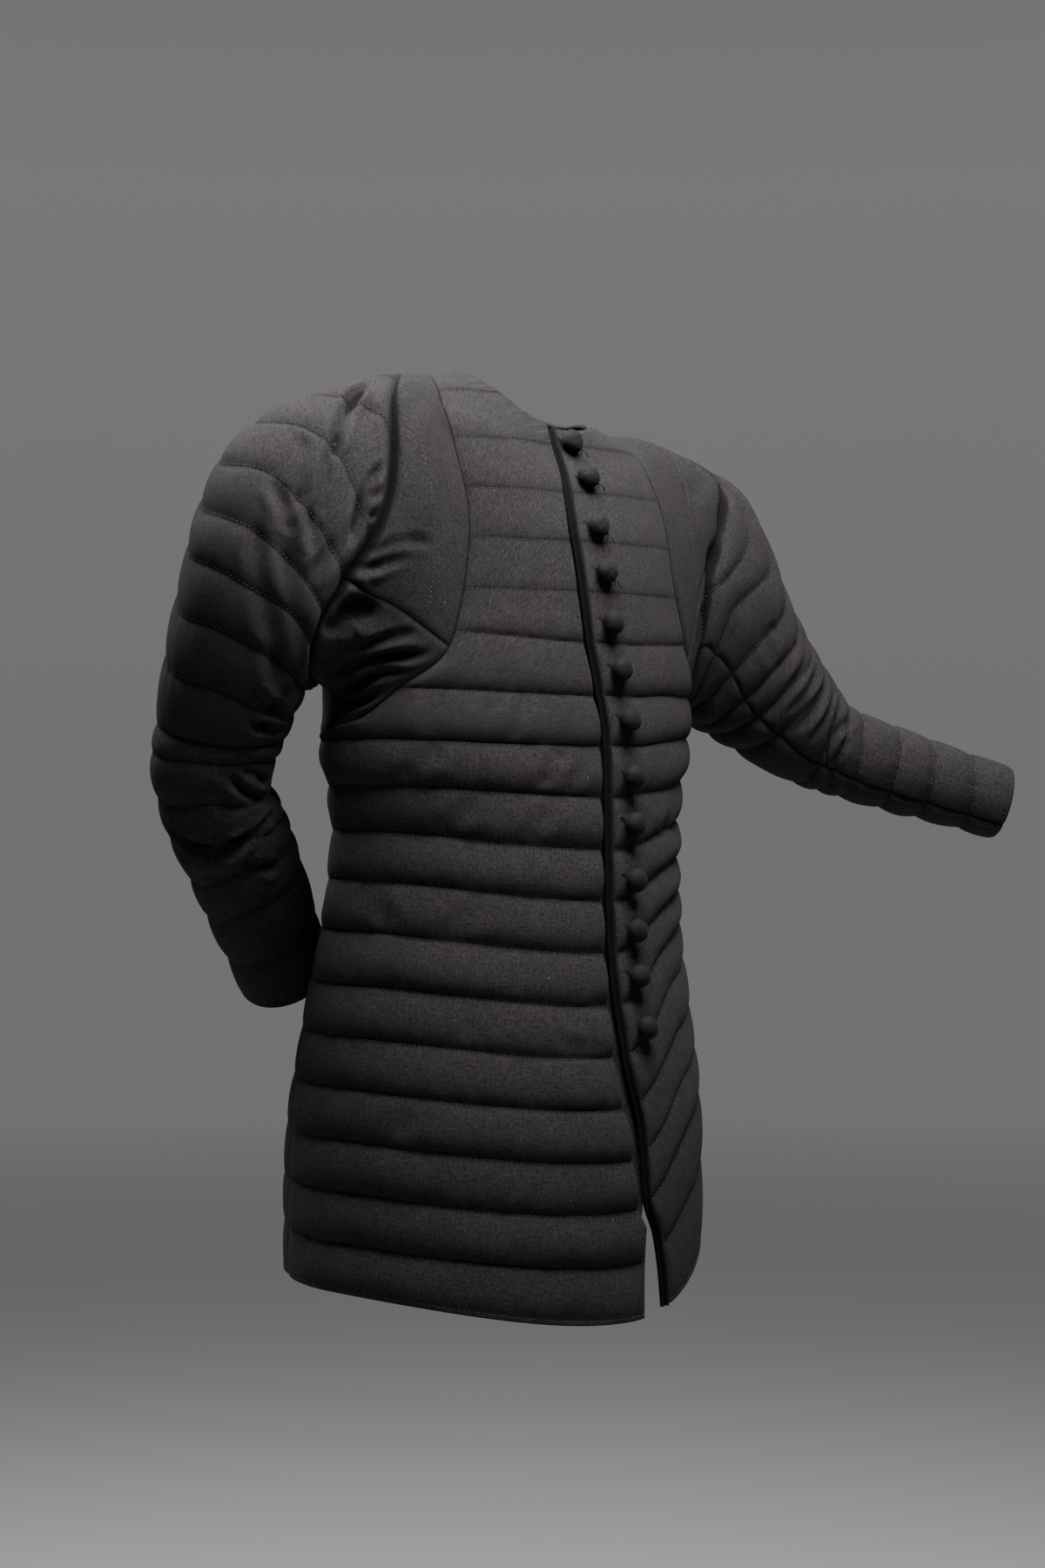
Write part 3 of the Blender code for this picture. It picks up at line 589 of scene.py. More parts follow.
# Quilting lines of the sleeves, from the shoulder down: the ring that each line crosses at six
# directions round the arm.  Line 7 is the elbow seam.
FIRST_LINE = -1
LINE_TURNS = (-60.0, 0.0, 60.0, 120.0, 180.0, 240.0)
RIGHT_LINES = (
    (0.4, 1.2, 0.0, -0.6, -0.6, -0.2),
    (1.3, 2.3, 1.15, 0.7, 0.7, 0.8),
    (2.2, 3.35, 2.3, 1.7, 1.7, 1.7),
    (3.1, 4.15, 3.45, 2.7, 2.6, 2.6),
    (3.9, 4.78, 4.32, 3.6, 3.5, 3.5),
    (4.75, 5.42, 5.0, 4.3, 4.3, 4.4),
    (5.65, 6.22, 5.8, 5.3, 5.1, 5.3),
    (6.7, 7.05, 6.73, 6.5, 6.2, 6.3),
    (8.17, 8.09, 7.8, 7.22, 7.08, 7.7),
    (8.75, 8.6, 8.2, 7.8, 7.8, 8.35),
    (9.6, 9.5, 9.25, 9.25, 9.2, 9.5),
    (10.35, 10.2, 10.05, 10.25, 10.2, 10.3),
    (11.2, 11.05, 10.75, 10.9, 10.9, 11.1),
    (11.75, 11.65, 11.4, 11.4, 11.5, 11.7),
    (12.4, 12.35, 12.25, 12.25, 12.3, 12.4),
    (13.1, 13.1, 13.1, 13.1, 13.1, 13.1),
)
LEFT_LINES = (
    (0.1, 0.2, 0.2, -0.4, -0.4, -0.3),
    (1.0, 1.4, 1.9, 0.2, 0.1, 0.5),
    (1.9, 2.8, 3.4, 1.2, 0.9, 1.3),
    (2.9, 4.0, 4.6, 2.3, 1.6, 2.1),
    (3.9, 5.0, 5.6, 4.1, 2.6, 3.0),
    (4.9, 5.95, 6.45, 5.4, 4.4, 4.4),
    (5.9, 6.8, 7.15, 6.4, 5.8, 5.8),
    (7.1, 7.55, 7.75, 7.4, 7.3, 7.3),
    (8.57, 8.42, 8.45, 9.02, 9.56, 9.2),
    (9.4, 9.3, 9.25, 9.7, 10.1, 9.9),
    (10.2, 10.1, 10.12, 10.5, 10.6, 10.4),
    (11.25, 11.2, 11.28, 11.33, 11.4, 11.3),
    (11.85, 11.8, 11.85, 11.9, 11.95, 11.9),
    (12.45, 12.42, 12.42, 12.48, 12.55, 12.5),
    (13.1, 13.1, 13.1, 13.1, 13.1, 13.1),
)

# Main folds, listed one by one.  Each runs from its start through its middle to its end, three
# places given as turn round the arm and ring.  Then come its width and its depth, which is below 0
# for a trough and above 0 for a ridge.
RIGHT_GUSSET_FOLDS = (
    (86.0, 2.60, 79.0, 1.50, 73.0, 0.55, 0.0052, -0.0034),
    (94.0, 3.10, 86.5, 2.05, 80.0, 0.85, 0.0052, -0.0056),
    (30.0, 0.62, 52.0, 0.72, 76.0, 0.90, 0.0150, 0.0030),
    (30.0, 0.35, 50.0, 0.48, 70.0, 0.30, 0.0120, -0.0012),
    (93.0, 2.60, 90.0, 2.10, 88.0, 1.50, 0.0060, 0.0020),
    (123.0, 3.70, 110.0, 2.75, 97.0, 1.45, 0.0120, -0.0120),
    (128.0, 2.40, 112.0, 1.25, 98.5, 0.55, 0.0050, -0.0052),
    (160.0, 3.70, 128.0, 1.40, 102.0, 0.16, 0.0054, -0.0090),
    (186.0, 2.40, 146.0, 1.36, 116.0, 0.22, 0.0052, -0.0084),
    (200.0, 1.70, 164.0, 0.95, 130.0, 0.20, 0.0056, -0.0056),
    (215.0, 1.00, 200.0, 0.90, 185.0, 0.80, 0.0080, -0.0030),
)
LEFT_GUSSET_FOLDS = (
    (20.0, 1.2, 45.0, 1.5, 62.0, 1.2, 0.0150, -0.0014),
    (40.0, 2.5, 60.0, 1.6, 80.0, 0.9, 0.0110, 0.0012),
    (30.0, 0.6, 55.0, 0.7, 85.0, 0.5, 0.0130, -0.0010),
    (110.0, 0.9, 112.0, 0.6, 108.0, 0.2, 0.0060, -0.0030),
    (150.0, 0.7, 145.0, 0.4, 138.0, 0.15, 0.0060, -0.0026),
    (215.0, 0.5, 205.0, 0.35, 190.0, 0.2, 0.0070, -0.0028),
)
RIGHT_SLEEVE_FOLDS = (
    (14.0, 1.4, 34.0, 2.1, 52.0, 2.55, 0.0056, -0.0095),
    (56.0, 1.62, 66.0, 2.12, 84.0, 2.65, 0.0046, -0.0075),
    (66.0, 2.0, 64.5, 1.8, 63.5, 1.62, 0.0038, -0.0050),
    (71.0, 2.1, 70.5, 1.9, 70.0, 1.72, 0.0038, -0.0050),
    (34.0, 2.95, 50.0, 3.15, 66.0, 3.55, 0.0066, -0.0046),
    (46.0, 2.55, 60.0, 2.90, 73.0, 3.35, 0.0055, -0.0052),
    (45.0, 3.7, 59.5, 3.74, 73.0, 3.78, 0.0070, -0.0050),
    (66.0, 3.3, 75.0, 3.42, 84.0, 3.5, 0.0060, -0.0052),
    (80.0, 3.0, 88.0, 3.4, 96.0, 3.8, 0.0070, -0.0040),
    (52.0, 3.35, 72.0, 3.9, 93.0, 4.4, 0.0090, -0.0042),
    (50.0, 4.2, 72.0, 4.75, 96.0, 5.2, 0.0085, -0.0032),
    (84.0, 4.6, 98.0, 5.4, 110.0, 6.2, 0.0085, -0.0040),
    (118.0, 5.4, 112.0, 6.3, 100.0, 7.0, 0.0075, -0.0036),
    (100.0, 6.9, 112.0, 7.0, 124.0, 6.8, 0.0060, -0.0034),
    (84.0, 6.2, 104.0, 6.35, 126.0, 6.3, 0.0060, -0.0040),
    (86.0, 6.92, 108.0, 6.8, 134.0, 6.7, 0.0050, -0.0070),
    (70.0, 8.35, 93.0, 8.85, 118.0, 9.25, 0.0055, -0.0068),
    (84.0, 8.2, 104.0, 8.35, 122.0, 8.6, 0.0050, -0.0045),
    (20.0, 8.85, 45.0, 8.95, 66.0, 8.85, 0.0080, -0.0026),
    (-14.0, 9.75, 36.0, 10.22, 80.0, 9.85, 0.0068, -0.0095),
    (-20.0, 10.45, 28.0, 10.55, 72.0, 10.15, 0.0060, 0.0034),
    (50.0, 10.05, 84.0, 9.96, 118.0, 9.65, 0.0055, -0.0062),
    (60.0, 10.5, 75.0, 10.8, 92.0, 10.95, 0.0055, -0.0045),
    (150.0, 7.5, 185.0, 7.9, 222.0, 8.2, 0.0070, -0.0040),
    (150.0, 8.4, 180.0, 8.6, 215.0, 8.9, 0.0065, -0.0036),
    (160.0, 6.6, 190.0, 6.9, 230.0, 7.1, 0.0080, -0.0030),
    (-55.0, 1.2, -35.0, 2.0, -20.0, 3.1, 0.0100, -0.0030),
    (-50.0, 3.4, -38.0, 4.2, -30.0, 5.3, 0.0110, -0.0024),
    (240.0, 2.2, 230.0, 3.4, 222.0, 4.8, 0.0100, -0.0036),
    (262.0, 1.2, 250.0, 2.4, 244.0, 3.6, 0.0090, -0.0030),
)
LEFT_SLEEVE_FOLDS = (
    (88.0, 5.0, 100.0, 5.0, 112.0, 5.3, 0.0085, -0.0026),
    (52.0, 6.65, 84.0, 6.75, 112.0, 6.35, 0.0055, -0.0026),
    (60.0, 7.35, 86.0, 7.3, 124.0, 6.95, 0.0055, -0.0036),
    (50.0, 7.75, 88.0, 7.8, 134.0, 7.6, 0.0055, -0.0040),
    (44.0, 8.05, 84.0, 8.2, 132.0, 8.3, 0.0050, -0.0038),
    (30.0, 8.3, 60.0, 8.6, 96.0, 8.5, 0.0050, -0.0036),
    (70.0, 8.85, 100.0, 8.95, 138.0, 9.1, 0.0060, -0.0036),
    (20.0, 8.7, 55.0, 9.0, 92.0, 9.35, 0.0055, -0.0030),
    (95.0, 9.6, 118.0, 9.5, 136.0, 9.7, 0.0060, -0.0028),
    (-40.0, 7.9, -15.0, 8.1, 20.0, 8.0, 0.0070, -0.0036),
    (-50.0, 8.9, -25.0, 8.7, 10.0, 8.6, 0.0060, -0.0034),
    (240.0, 7.8, 262.0, 8.0, 284.0, 7.8, 0.0070, -0.0032),
    (246.0, 8.6, 264.0, 8.5, 282.0, 8.6, 0.0060, -0.0028),
    (160.0, 2.0, 172.0, 3.0, 178.0, 4.2, 0.0100, -0.0034),
    (215.0, 1.2, 210.0, 2.4, 204.0, 3.8, 0.0100, -0.0034),
    (245.0, 1.0, 240.0, 2.2, 236.0, 3.4, 0.0090, -0.0026),
    (-50.0, 1.4, -35.0, 2.2, -25.0, 3.4, 0.0110, -0.0026),
)

# Folds and dents of the body, given as angle round the body and row.
BODY_FOLDS = (
    (-24.0, 5.5, -15.0, 5.20, -7.0, 5.36, 0.0080, -0.0020),
    (-40.0, 11.0, -36.0, 11.6, -33.0, 11.95, 0.0080, -0.0026),
    (-30.0, 10.1, -25.0, 10.6, -22.0, 10.9, 0.0080, -0.0030),
    (-20.0, 10.1, -17.0, 10.4, -15.0, 10.8, 0.0080, -0.0024),
    (-34.0, 9.1, -29.0, 9.5, -26.0, 9.9, 0.0095, -0.0026),
    (-62.0, 9.1, -54.0, 9.5, -49.0, 9.9, 0.0100, -0.0026),
    (-72.0, 10.2, -64.0, 10.6, -58.0, 10.9, 0.0090, -0.0028),
    (-60.0, 7.1, -50.0, 7.5, -43.0, 7.9, 0.0110, -0.0024),
    (-88.0, 7.9, -78.0, 7.5, -70.0, 7.1, 0.0110, -0.0026),
    (-75.0, 3.2, -66.0, 3.5, -58.0, 3.8, 0.0120, -0.0022),
    (-52.0, 5.1, -47.0, 5.5, -43.0, 5.9, 0.0110, -0.0020),
    (26.0, 9.1, 32.0, 9.5, 37.0, 9.9, 0.0090, -0.0020),
    (48.0, 8.1, 58.0, 8.5, 64.0, 8.9, 0.0110, -0.0020),
    (55.0, 5.2, 62.0, 5.7, 72.0, 6.0, 0.0120, -0.0020),
    (78.0, 10.3, 84.0, 9.4, 98.0, 9.0, 0.0140, -0.0030),
    (84.0, 8.2, 96.0, 8.0, 112.0, 8.4, 0.0140, -0.0026),
    (104.0, 10.6, 122.0, 9.9, 140.0, 10.2, 0.0140, -0.0028),
    (110.0, 7.2, 128.0, 7.0, 146.0, 7.5, 0.0140, -0.0022),
    (150.0, 8.8, 168.0, 9.4, 182.0, 9.1, 0.0150, -0.0026),
    (196.0, 9.6, 212.0, 9.0, 236.0, 9.3, 0.0150, -0.0028),
    (222.0, 7.3, 238.0, 7.8, 256.0, 7.4, 0.0140, -0.0024),
    (236.0, 10.9, 248.0, 10.2, 262.0, 10.5, 0.0130, -0.0026),
    (126.0, 12.8, 138.0, 12.2, 156.0, 12.6, 0.0150, -0.0022),
    (205.0, 12.4, 220.0, 12.9, 232.0, 12.5, 0.0150, -0.0022),
    (170.0, 4.2, 176.0, 2.6, 171.0, 0.8, 0.0200, -0.0024),
    (205.0, 3.6, 198.0, 2.2, 203.0, 0.6, 0.0180, -0.0022),
    (150.0, 3.0, 154.0, 1.8, 150.0, 0.5, 0.0170, -0.0018),
)

# How deep the front of each sleeve's first seam lies in its tuck, by direction round the arm.
TUCK_WIDTHS = {-1: 0.0062, 1: 0.0100}
TUCK_SWELLS = {-1: 0.50, 1: 0.10}    # share of the depth by which the sleeve stands up beside it
SWELL_PLACE = 2.4        # how far beside the tuck that is, and how broad, in widths of the tuck
SWELL_WIDTH = 1.4
TUCK_COLUMNS = ("turn", "right", "left")
TUCK = (
    (8.0, 0.0, 0.0),
    (24.0, 0.0035, 0.0010),
    (38.0, 0.0080, 0.0050),
    (55.0, 0.0105, 0.0085),
    (72.0, 0.0095, 0.0062),
    (88.0, 0.0080, 0.0115),
    (104.0, 0.0070, 0.0066),
    (122.0, 0.0055, 0.0115),
    (138.0, 0.0030, 0.0050),
    (160.0, 0.0, 0.0),
)

# The row of stitches inside each upper gusset: ring for each turn round the arm.
GUSSET_STITCHING = (
    (40.0, 0.92),
    (52.0, 0.86),
    (68.0, 0.63),
    (76.0, 0.57),
    (90.0, 0.50),
)

# Finish of the cloth and the thread.
CLOTH_THREAD = 0.0012    # spacing of the woven threads, and the same in the edge strip
CORD_THREAD = 0.0008
FUZZ_SCALE = 1500.0      # how many of each to the metre: fine fuzz, coarse grain, reddish
COARSE_SCALE = 360.0     # blotches, light patches and specks of lint
BLOTCH_SCALE = 17.0
PATCH_SCALE = 55.0
LINT_SCALE = 62.0
LINT_SIZE = 0.026        # size of a speck as a share of its own space, and share that have none
LINT_MISSING = 0.72
SLUB_STRETCHES = ((75.0, 820.0, 1.0), (820.0, 75.0, 1.0))   # along one thread and the other
CLOTH_TONES = (0.28, 2.1)    # darkest and lightest speckle as shares of the colour
THREAD_TONES = (0.55, 1.7)
SHEEN = 0.012
CLOTH_BUMP = (0.55, 0.0005)  # strength and height of the fine relief
THREAD_BUMP = (0.6, 0.0004)
BUTTON_FIBRES = 1100.0   # fibres to the metre of the button covers and the two threads
SLIT_FIBRES = 1300.0
THREAD_FIBRES = 1600.0

# Cloth colours and the colour of the thread, linear.
DARK_CLOTH = (0.0098, 0.0094, 0.0098)
PLAIN_CLOTH = (0.0087, 0.0083, 0.0088)
CORD_CLOTH = (0.0034, 0.0033, 0.0035)
BUTTON_CLOTH = (0.0046, 0.0044, 0.0046)
THREAD = (0.040, 0.0385, 0.0385)
SLIT = (0.004, 0.0035, 0.0040)
FLOOR = (0.42, 0.415, 0.405)
LINT = (0.30, 0.29, 0.28)
BLOTCH = (1.12, 1.00, 1.08)          # tint of the reddish blotches
# Studio wall: colour by height, from the floor's far edge to overhead.
WALL_TONES = (
    (0.0, (0.170, 0.168, 0.165)),
    (0.20, (0.190, 0.188, 0.184)),
    (0.85, (0.060, 0.059, 0.058)),
)

# Pieces of a sleeve: its first and last seam round the arm, its width, where it starts and ends
# along the arm, and its length.
SLEEVE_PARTS = (
    ("upper", BACK_SEAM, UNDER_SEAM, 0.40, "start", "elbow", 0.32),
    ("fore", BACK_SEAM, UNDER_SEAM, 0.21, "elbow", "cuff", 0.25),
    ("under", UNDER_SEAM, BACK_SEAM + 360.0, 0.19, "start", "cuff", 0.55),
)

# Floor, light and camera.
FLOOR_LEVEL = -1.80
FLOOR_RADIUS = 14.0
FLOOR_NEAR = 2.2         # the floor fades into the wall between these distances
FLOOR_FAR = 9.5
VIEW_TURN = 42.0         # degrees from straight in front toward the wearer's right
VIEW_DISTANCE = 2.90
VIEW_LEVEL = -0.408
VIEW_ASIDE = 0.0121
LENS = 67.1
LIGHT_AIM = (0.0, 0.0, -0.42)
# Name, azimuth, elevation, distance, size, power and colour.
LIGHTS = (
    ("key", -18.0, 63.0, 1.50, 0.95, 124.0, (1.0, 0.99, 0.975)),
    ("rim", -150.0, 62.0, 2.3, 0.8, 130.0, (0.97, 0.98, 1.0)),
)


# ---- soft random forms -------------------------------------------------------------------------
def lattice(*places, seed):
    """Even random numbers from -1 to 1 for whole-number places."""
    mixed = np.full(np.shape(places[0]), seed * SCATTER_SEED[0] + SCATTER_SEED[1], dtype=np.int64)
    for place, factor in zip(places, SCATTER_PLACE):
        mixed = (mixed ^ (place.astype(np.int64) * factor)) & LOW_BITS
        mixed = (mixed * SCATTER_STEP[0] + SCATTER_STEP[1]) & LOW_BITS
        mixed ^= mixed >> 11
    return (mixed & 0xFFFF) / 32767.5 - 1.0


def ripple(u, v, seed):
    """Smooth uneven waves about one unit long over the plane of u and v, from -1 to 1."""
    i, j = np.floor(u), np.floor(v)
    a, b = ease(u - i), ease(v - j)
    low = lattice(i, j, seed=seed) * (1.0 - a) + lattice(i + 1, j, seed=seed) * a
    high = lattice(i, j + 1, seed=seed) * (1.0 - a) + lattice(i + 1, j + 1, seed=seed) * a
    return low * (1.0 - b) + high * b


def uneven(u, v, seed):
    """Broad waves with finer ones on them."""
    return 0.66 * ripple(u, v, seed) + 0.34 * ripple(u * 2.1 + 5.3, v * 2.1 + 1.7, seed + 50)


# ---- spacing of points -------------------------------------------------------------------------
def spaced(length, step):
    """Places along a length, close together beside both ends, as shares of it."""
    ends = [0.0]
    gap = EDGE_STEP
    while gap < step:
        ends.append(ends[-1] + gap)
        gap *= EDGE_GROWTH
    ends = np.array(ends)
    middle = max(length - 2.0 * ends[-1], step)
    count = max(int(math.ceil(middle / step)), 1)
    while (count + 2 * (len(ends) - 1)) % INSIDE_STEP:
        count += 1
    inner = ends[-1] + middle * np.arange(1, count) / count
    total = middle + 2.0 * ends[-1]
    return np.concatenate((ends, inner, total - ends[::-1])) / total


def run_length(points, axis):
    """Distance along each line of a grid from its first point."""
    steps = np.linalg.norm(np.diff(points, axis=axis), axis=-1)
    start = np.zeros_like(np.take(steps, [0], axis=axis))
    return np.concatenate((start, np.cumsum(steps, axis=axis)), axis=axis)


# ---- quilting ----------------------------------------------------------------------------------
# In the waves below, factors of a row, a ring or a channel's number only set one apart from the
# next, and the last argument is the seed.
def body_quilt(angle, row, points):
    """Count of quilting lines up the body: by row below the chest, level above it."""
    level = LEVEL_ROW + (points[..., 2] - LEVEL_HEIGHT) / PITCH
    around = ease(angle / HITCH_START) * ease((HITCH_END - angle) / HITCH_FADE)
    hitch = read(LEFT_HITCH, HITCH_COLUMNS, "rise", row) * around
    quilt = row + (level - row) * ease((row - LEVEL_START) / LEVEL_FADE) - hitch
    wander = LINE_WANDER * uneven(np.radians(angle) * 3.6, row * 0.9, 5)
    return quilt + wander * ease(row / HEM_ROWS)


def sleeve_quilt(turn, ring, side):
    """Count of quilting lines along a sleeve."""
    lines = LEFT_LINES if side > 0 else RIGHT_LINES
    shape = turn.shape
    turn, ring = turn.ravel(), ring.ravel()
    turns = np.array(LINE_TURNS)
    places = np.stack([read_round(turns, line, turn) for line in lines], axis=-1)
    above = np.clip((places <= ring[:, None]).sum(axis=-1) - 1, 0, len(lines) - 2)
    n = np.arange(len(ring))
    low, high = places[n, above], places[n, above + 1]
    share = np.clip((ring - low) / np.maximum(high - low, 1e-6), 0.0, 1.0)
    wander = LINE_WANDER * uneven(np.radians(turn) * 1.9, ring * 0.9, LINE_SEEDS[side])
    return (FIRST_LINE + above + share + wander).reshape(shape)


def channel(quilt, along, rise, seed):
    """Height of stuffed channels over the plane, full between lines and drawn in on them, and how
    full they look: the shader lightens the rubbed crests and paints shade on the lines from that.
    """
    number = np.floor(quilt)
    share = quilt - number
    sag = SAG * (1.0 + SAG_DRIFT * ripple(along / SAG_LENGTH, number * 3.7, seed))
    bent = np.clip(share, 0.0, 1.0) ** sag
    arch = np.clip(4.0 * bent * (1.0 - bent), 0.0, 1.0)
    crisp = LOW_FULLNESS + (1.0 - LOW_FULLNESS) * ease((rise - LOW_RISE) / FULL_RISE)
    full = arch ** (FULLNESS * crisp)
    lump = 1.0 + LUMP * uneven(along / LUMP_LENGTH, number * 5.1 + 0.5, seed + 1)
    each = 1.0 + CHANNEL_LUMP * lattice(number, number * 0, seed=seed + 2)
    near = np.exp(-np.minimum(share, 1.0 - share) * PITCH / PUCKER_REACH)
    pucker = ripple(along / PUCKER_LENGTHS[0], quilt * 1.3, seed + 3)
    pucker += 0.5 * ripple(along / PUCKER_LENGTHS[1], quilt, seed + 4)
    height = rise * (full * lump * each - SEAM_LEVEL)
    # arch ** 0.75 is the relief that the shader turns into painted shade on the lines and lighter
    # rubbed crests.
    return height + PUCKER * rise * near * full ** 0.5 * pucker, arch ** 0.75


def fold_height(points, lines):
    """Height of the folds that pass near each point."""
    flat = points.reshape(-1, 3)
    height = np.zeros(len(flat))
    for line, width, depth in lines:
        reach = FOLD_REACH * width
        box = (flat > line.min(axis=0) - reach) & (flat < line.max(axis=0) + reach)
        chosen = np.flatnonzero(box.all(axis=1))
        here = flat[chosen]
        near = np.full(len(chosen), np.inf)
        share = np.zeros(len(chosen))
        for k in range(len(line) - 1):
            leg = line[k + 1] - line[k]
            t = np.clip((here - line[k]) @ leg / (leg @ leg), 0.0, 1.0)
            away = np.linalg.norm(here - line[k] - t[:, None] * leg, axis=1)
            closer = away < near
            near[closer] = away[closer]
            share[closer] = (k + t[closer]) / (len(line) - 1)
        fade = ease(np.minimum(share, 1.0 - share) / FOLD_END) ** 0.7
        swell = 1.0 - FOLD_UNEVEN + FOLD_UNEVEN * np.sin(share * 9.0 + depth * 4000.0)
        across = near / (width * (FOLD_NARROW + (1.0 - FOLD_NARROW) * fade))
        lip = FOLD_LIP * np.exp(-((across - LIP_PLACE) / LIP_WIDTH) ** 2)
        height[chosen] += depth * fade * swell * (np.exp(-across ** 2) - lip)
    return height.reshape(points.shape[:-1])


def fold_lines(table, form):
    """The folds of a table as lines of points on a form."""
    share = np.linspace(0.0, 1.0, FOLD_LEGS + 1)
    weights = np.stack(((1.0 - share) * (1.0 - 2.0 * share), 4.0 * share * (1.0 - share),
                        share * (2.0 * share - 1.0)))
    lines = []
    for *places, width, depth in table:
        u, v = np.array(places[::2]) @ weights, np.array(places[1::2]) @ weights
        lines.append((form(u, np.maximum(v, 0.0)), width, depth))
    return lines


# ---- cloth pieces ------------------------------------------------------------------------------
def settle(height, points, edges):
    """Bring a panel's height down to its sewn seams, round off its free edges and paint shade on
    the cloth beside the seams.

    edges are the kinds of the first and last lines along each axis: sewn, side or free.
    """
    rim = np.zeros_like(height)
    painted_seam_shade = np.ones_like(height)
    for axis in (0, 1):
        along = run_length(points, axis)
        total = np.take(along, [-1], axis=axis)
        for kind, away in zip(edges[axis], (along, total - along)):
            if kind == "free":
                grown = ease((away - 0.4 * HEM_WIDTH) / HEM_WIDTH) ** HEM_CURVE
                height = EDGE_LEVEL + (height - EDGE_LEVEL) * grown
                short = np.clip(EDGE_RADIUS - away, 0.0, EDGE_RADIUS)
                rim = np.maximum(rim, EDGE_RADIUS - np.sqrt(EDGE_RADIUS ** 2 - short ** 2))
            else:
                width = SEAM_WIDTH if kind == "sewn" else SIDE_WIDTH
                grown = 1.0 - (1.0 - np.clip(away / width, 0.0, 1.0)) ** SEAM_CURVE
                height = SEAM_DIP + (height - SEAM_DIP) * grown
                # Painted shade: the cloth is darkened in a narrow strip beside each seam.
                painted_seam_shade = np.minimum(painted_seam_shade, ease(away / SEAM_SHADE))
    return height, rim, painted_seam_shade


def tuck(turn, away, side, swell=0.0):
    """Height of the cloth beside a sleeve's first seam and how much painted shade its valley gets.
    """
    depth = np.maximum(read(TUCK, TUCK_COLUMNS, WORDS[side], turn), 0.0)
    across = away / TUCK_WIDTHS[side]
    valley = depth * np.exp(-across ** 2)
    beside = swell * depth * np.exp(-((across - SWELL_PLACE) / SWELL_WIDTH) ** 2)
    return beside - valley, ease(valley / HOLLOW)


def bottomed(height):
    """Heights with the deepest places, where folds cross, drawn up to a soft bottom."""
    over = np.maximum(-FOLD_FREE - height, 0.0)
    return np.maximum(height, -FOLD_FREE) - FOLD_SPARE * np.tanh(over / FOLD_SPARE)


def hollow(full, dark):
    """Relief drawn down toward HOLLOW_RELIEF where the cloth lies in a hollow, so that the shader
    paints shade there.
    """
    return full * (1.0 - dark) + HOLLOW_RELIEF * dark


def add_object(name, verts, faces, material):
    """A smooth object of one material in the scene."""
    mesh = bpy.data.meshes.new(name)
    mesh.from_pydata(verts, [], faces)
    mesh.polygons.foreach_set("use_smooth", np.ones(len(mesh.polygons), dtype=bool))
    mesh.materials.append(material)
    made = bpy.data.objects.new(name, mesh)
    bpy.context.scene.collection.objects.link(made)
    return made


def grid_faces(index, turned=False):
    """Four-sided faces over a grid of point numbers."""
    corners = [index[:-1, :-1], index[:-1, 1:], index[1:, 1:], index[1:, :-1]]
    if turned:
        corners[1], corners[3] = corners[3], corners[1]
    return np.stack(corners, -1).reshape(-1, 4).tolist()


def shell(name, outer, inner, relief, material, fine_uv):
    """Closed mesh with a fine outer face and a coarse inner face, joined round the border."""
    k = INSIDE_STEP
    inside = inner[::k, ::k]
    index = np.arange(relief.size).reshape(relief.shape)
    under = np.arange(inside[..., 0].size).reshape(inside.shape[:2]) + relief.size
    faces = grid_faces(index) + grid_faces(under, turned=True)
    for fine, coarse in ((index[0], under[0]), (index[:, -1], under[:, -1]),
                         (index[-1, ::-1], under[-1, ::-1]), (index[::-1, 0], under[::-1, 0])):
        for j in range(len(coarse) - 1):
            edge = fine[j * k:(j + 1) * k + 1][::-1].tolist()
            faces.append(edge + [int(coarse[j]), int(coarse[j + 1])])
    verts = np.concatenate((outer.reshape(-1, 3), inside.reshape(-1, 3))).tolist()
    made = add_object(name, verts, faces, material)
    mesh = made.data
    mesh.validate()
    mesh.update()
    loops = np.zeros(len(mesh.loops), dtype=np.int32)
    mesh.loops.foreach_get("vertex_index", loops)
    uv = np.concatenate((fine_uv.reshape(-1, 2), fine_uv[::k, ::k].reshape(-1, 2)))
    layer = mesh.uv_layers.new(name="cloth")
    layer.data.foreach_set("uv", uv[loops].astype(np.float32).ravel())
    # The relief attribute sets the tone in the shader: rubbed crests lighter, painted shade on the
    # lines, beside seams and in hollows.
    raised = np.concatenate((relief.ravel(), np.full(under.size, INSIDE_RELIEF)))
    shade = mesh.attributes.new("relief", "FLOAT", "POINT")
    shade.data.foreach_set("value", raised.astype(np.float32))
    return made


def pull_in(grid):
    """Move a grid's border inward by half a seam, so that two pieces leave a seam between them."""
    grid = grid.copy()
    for axis in (0, 1):
        rows = np.moveaxis(grid, axis, 0)
        for edge, neighbour in ((0, 1), (-1, -2)):
            inward = rows[neighbour] - rows[edge]
            length = np.linalg.norm(inward, axis=-1, keepdims=True)
            rows[edge] = rows[edge] + inward / length * (SEAM_GAP / 2.0)
    return grid


def grid_normals(points):
    return cross_normals(np.gradient(points, axis=1), np.gradient(points, axis=0))


PANELS = {}


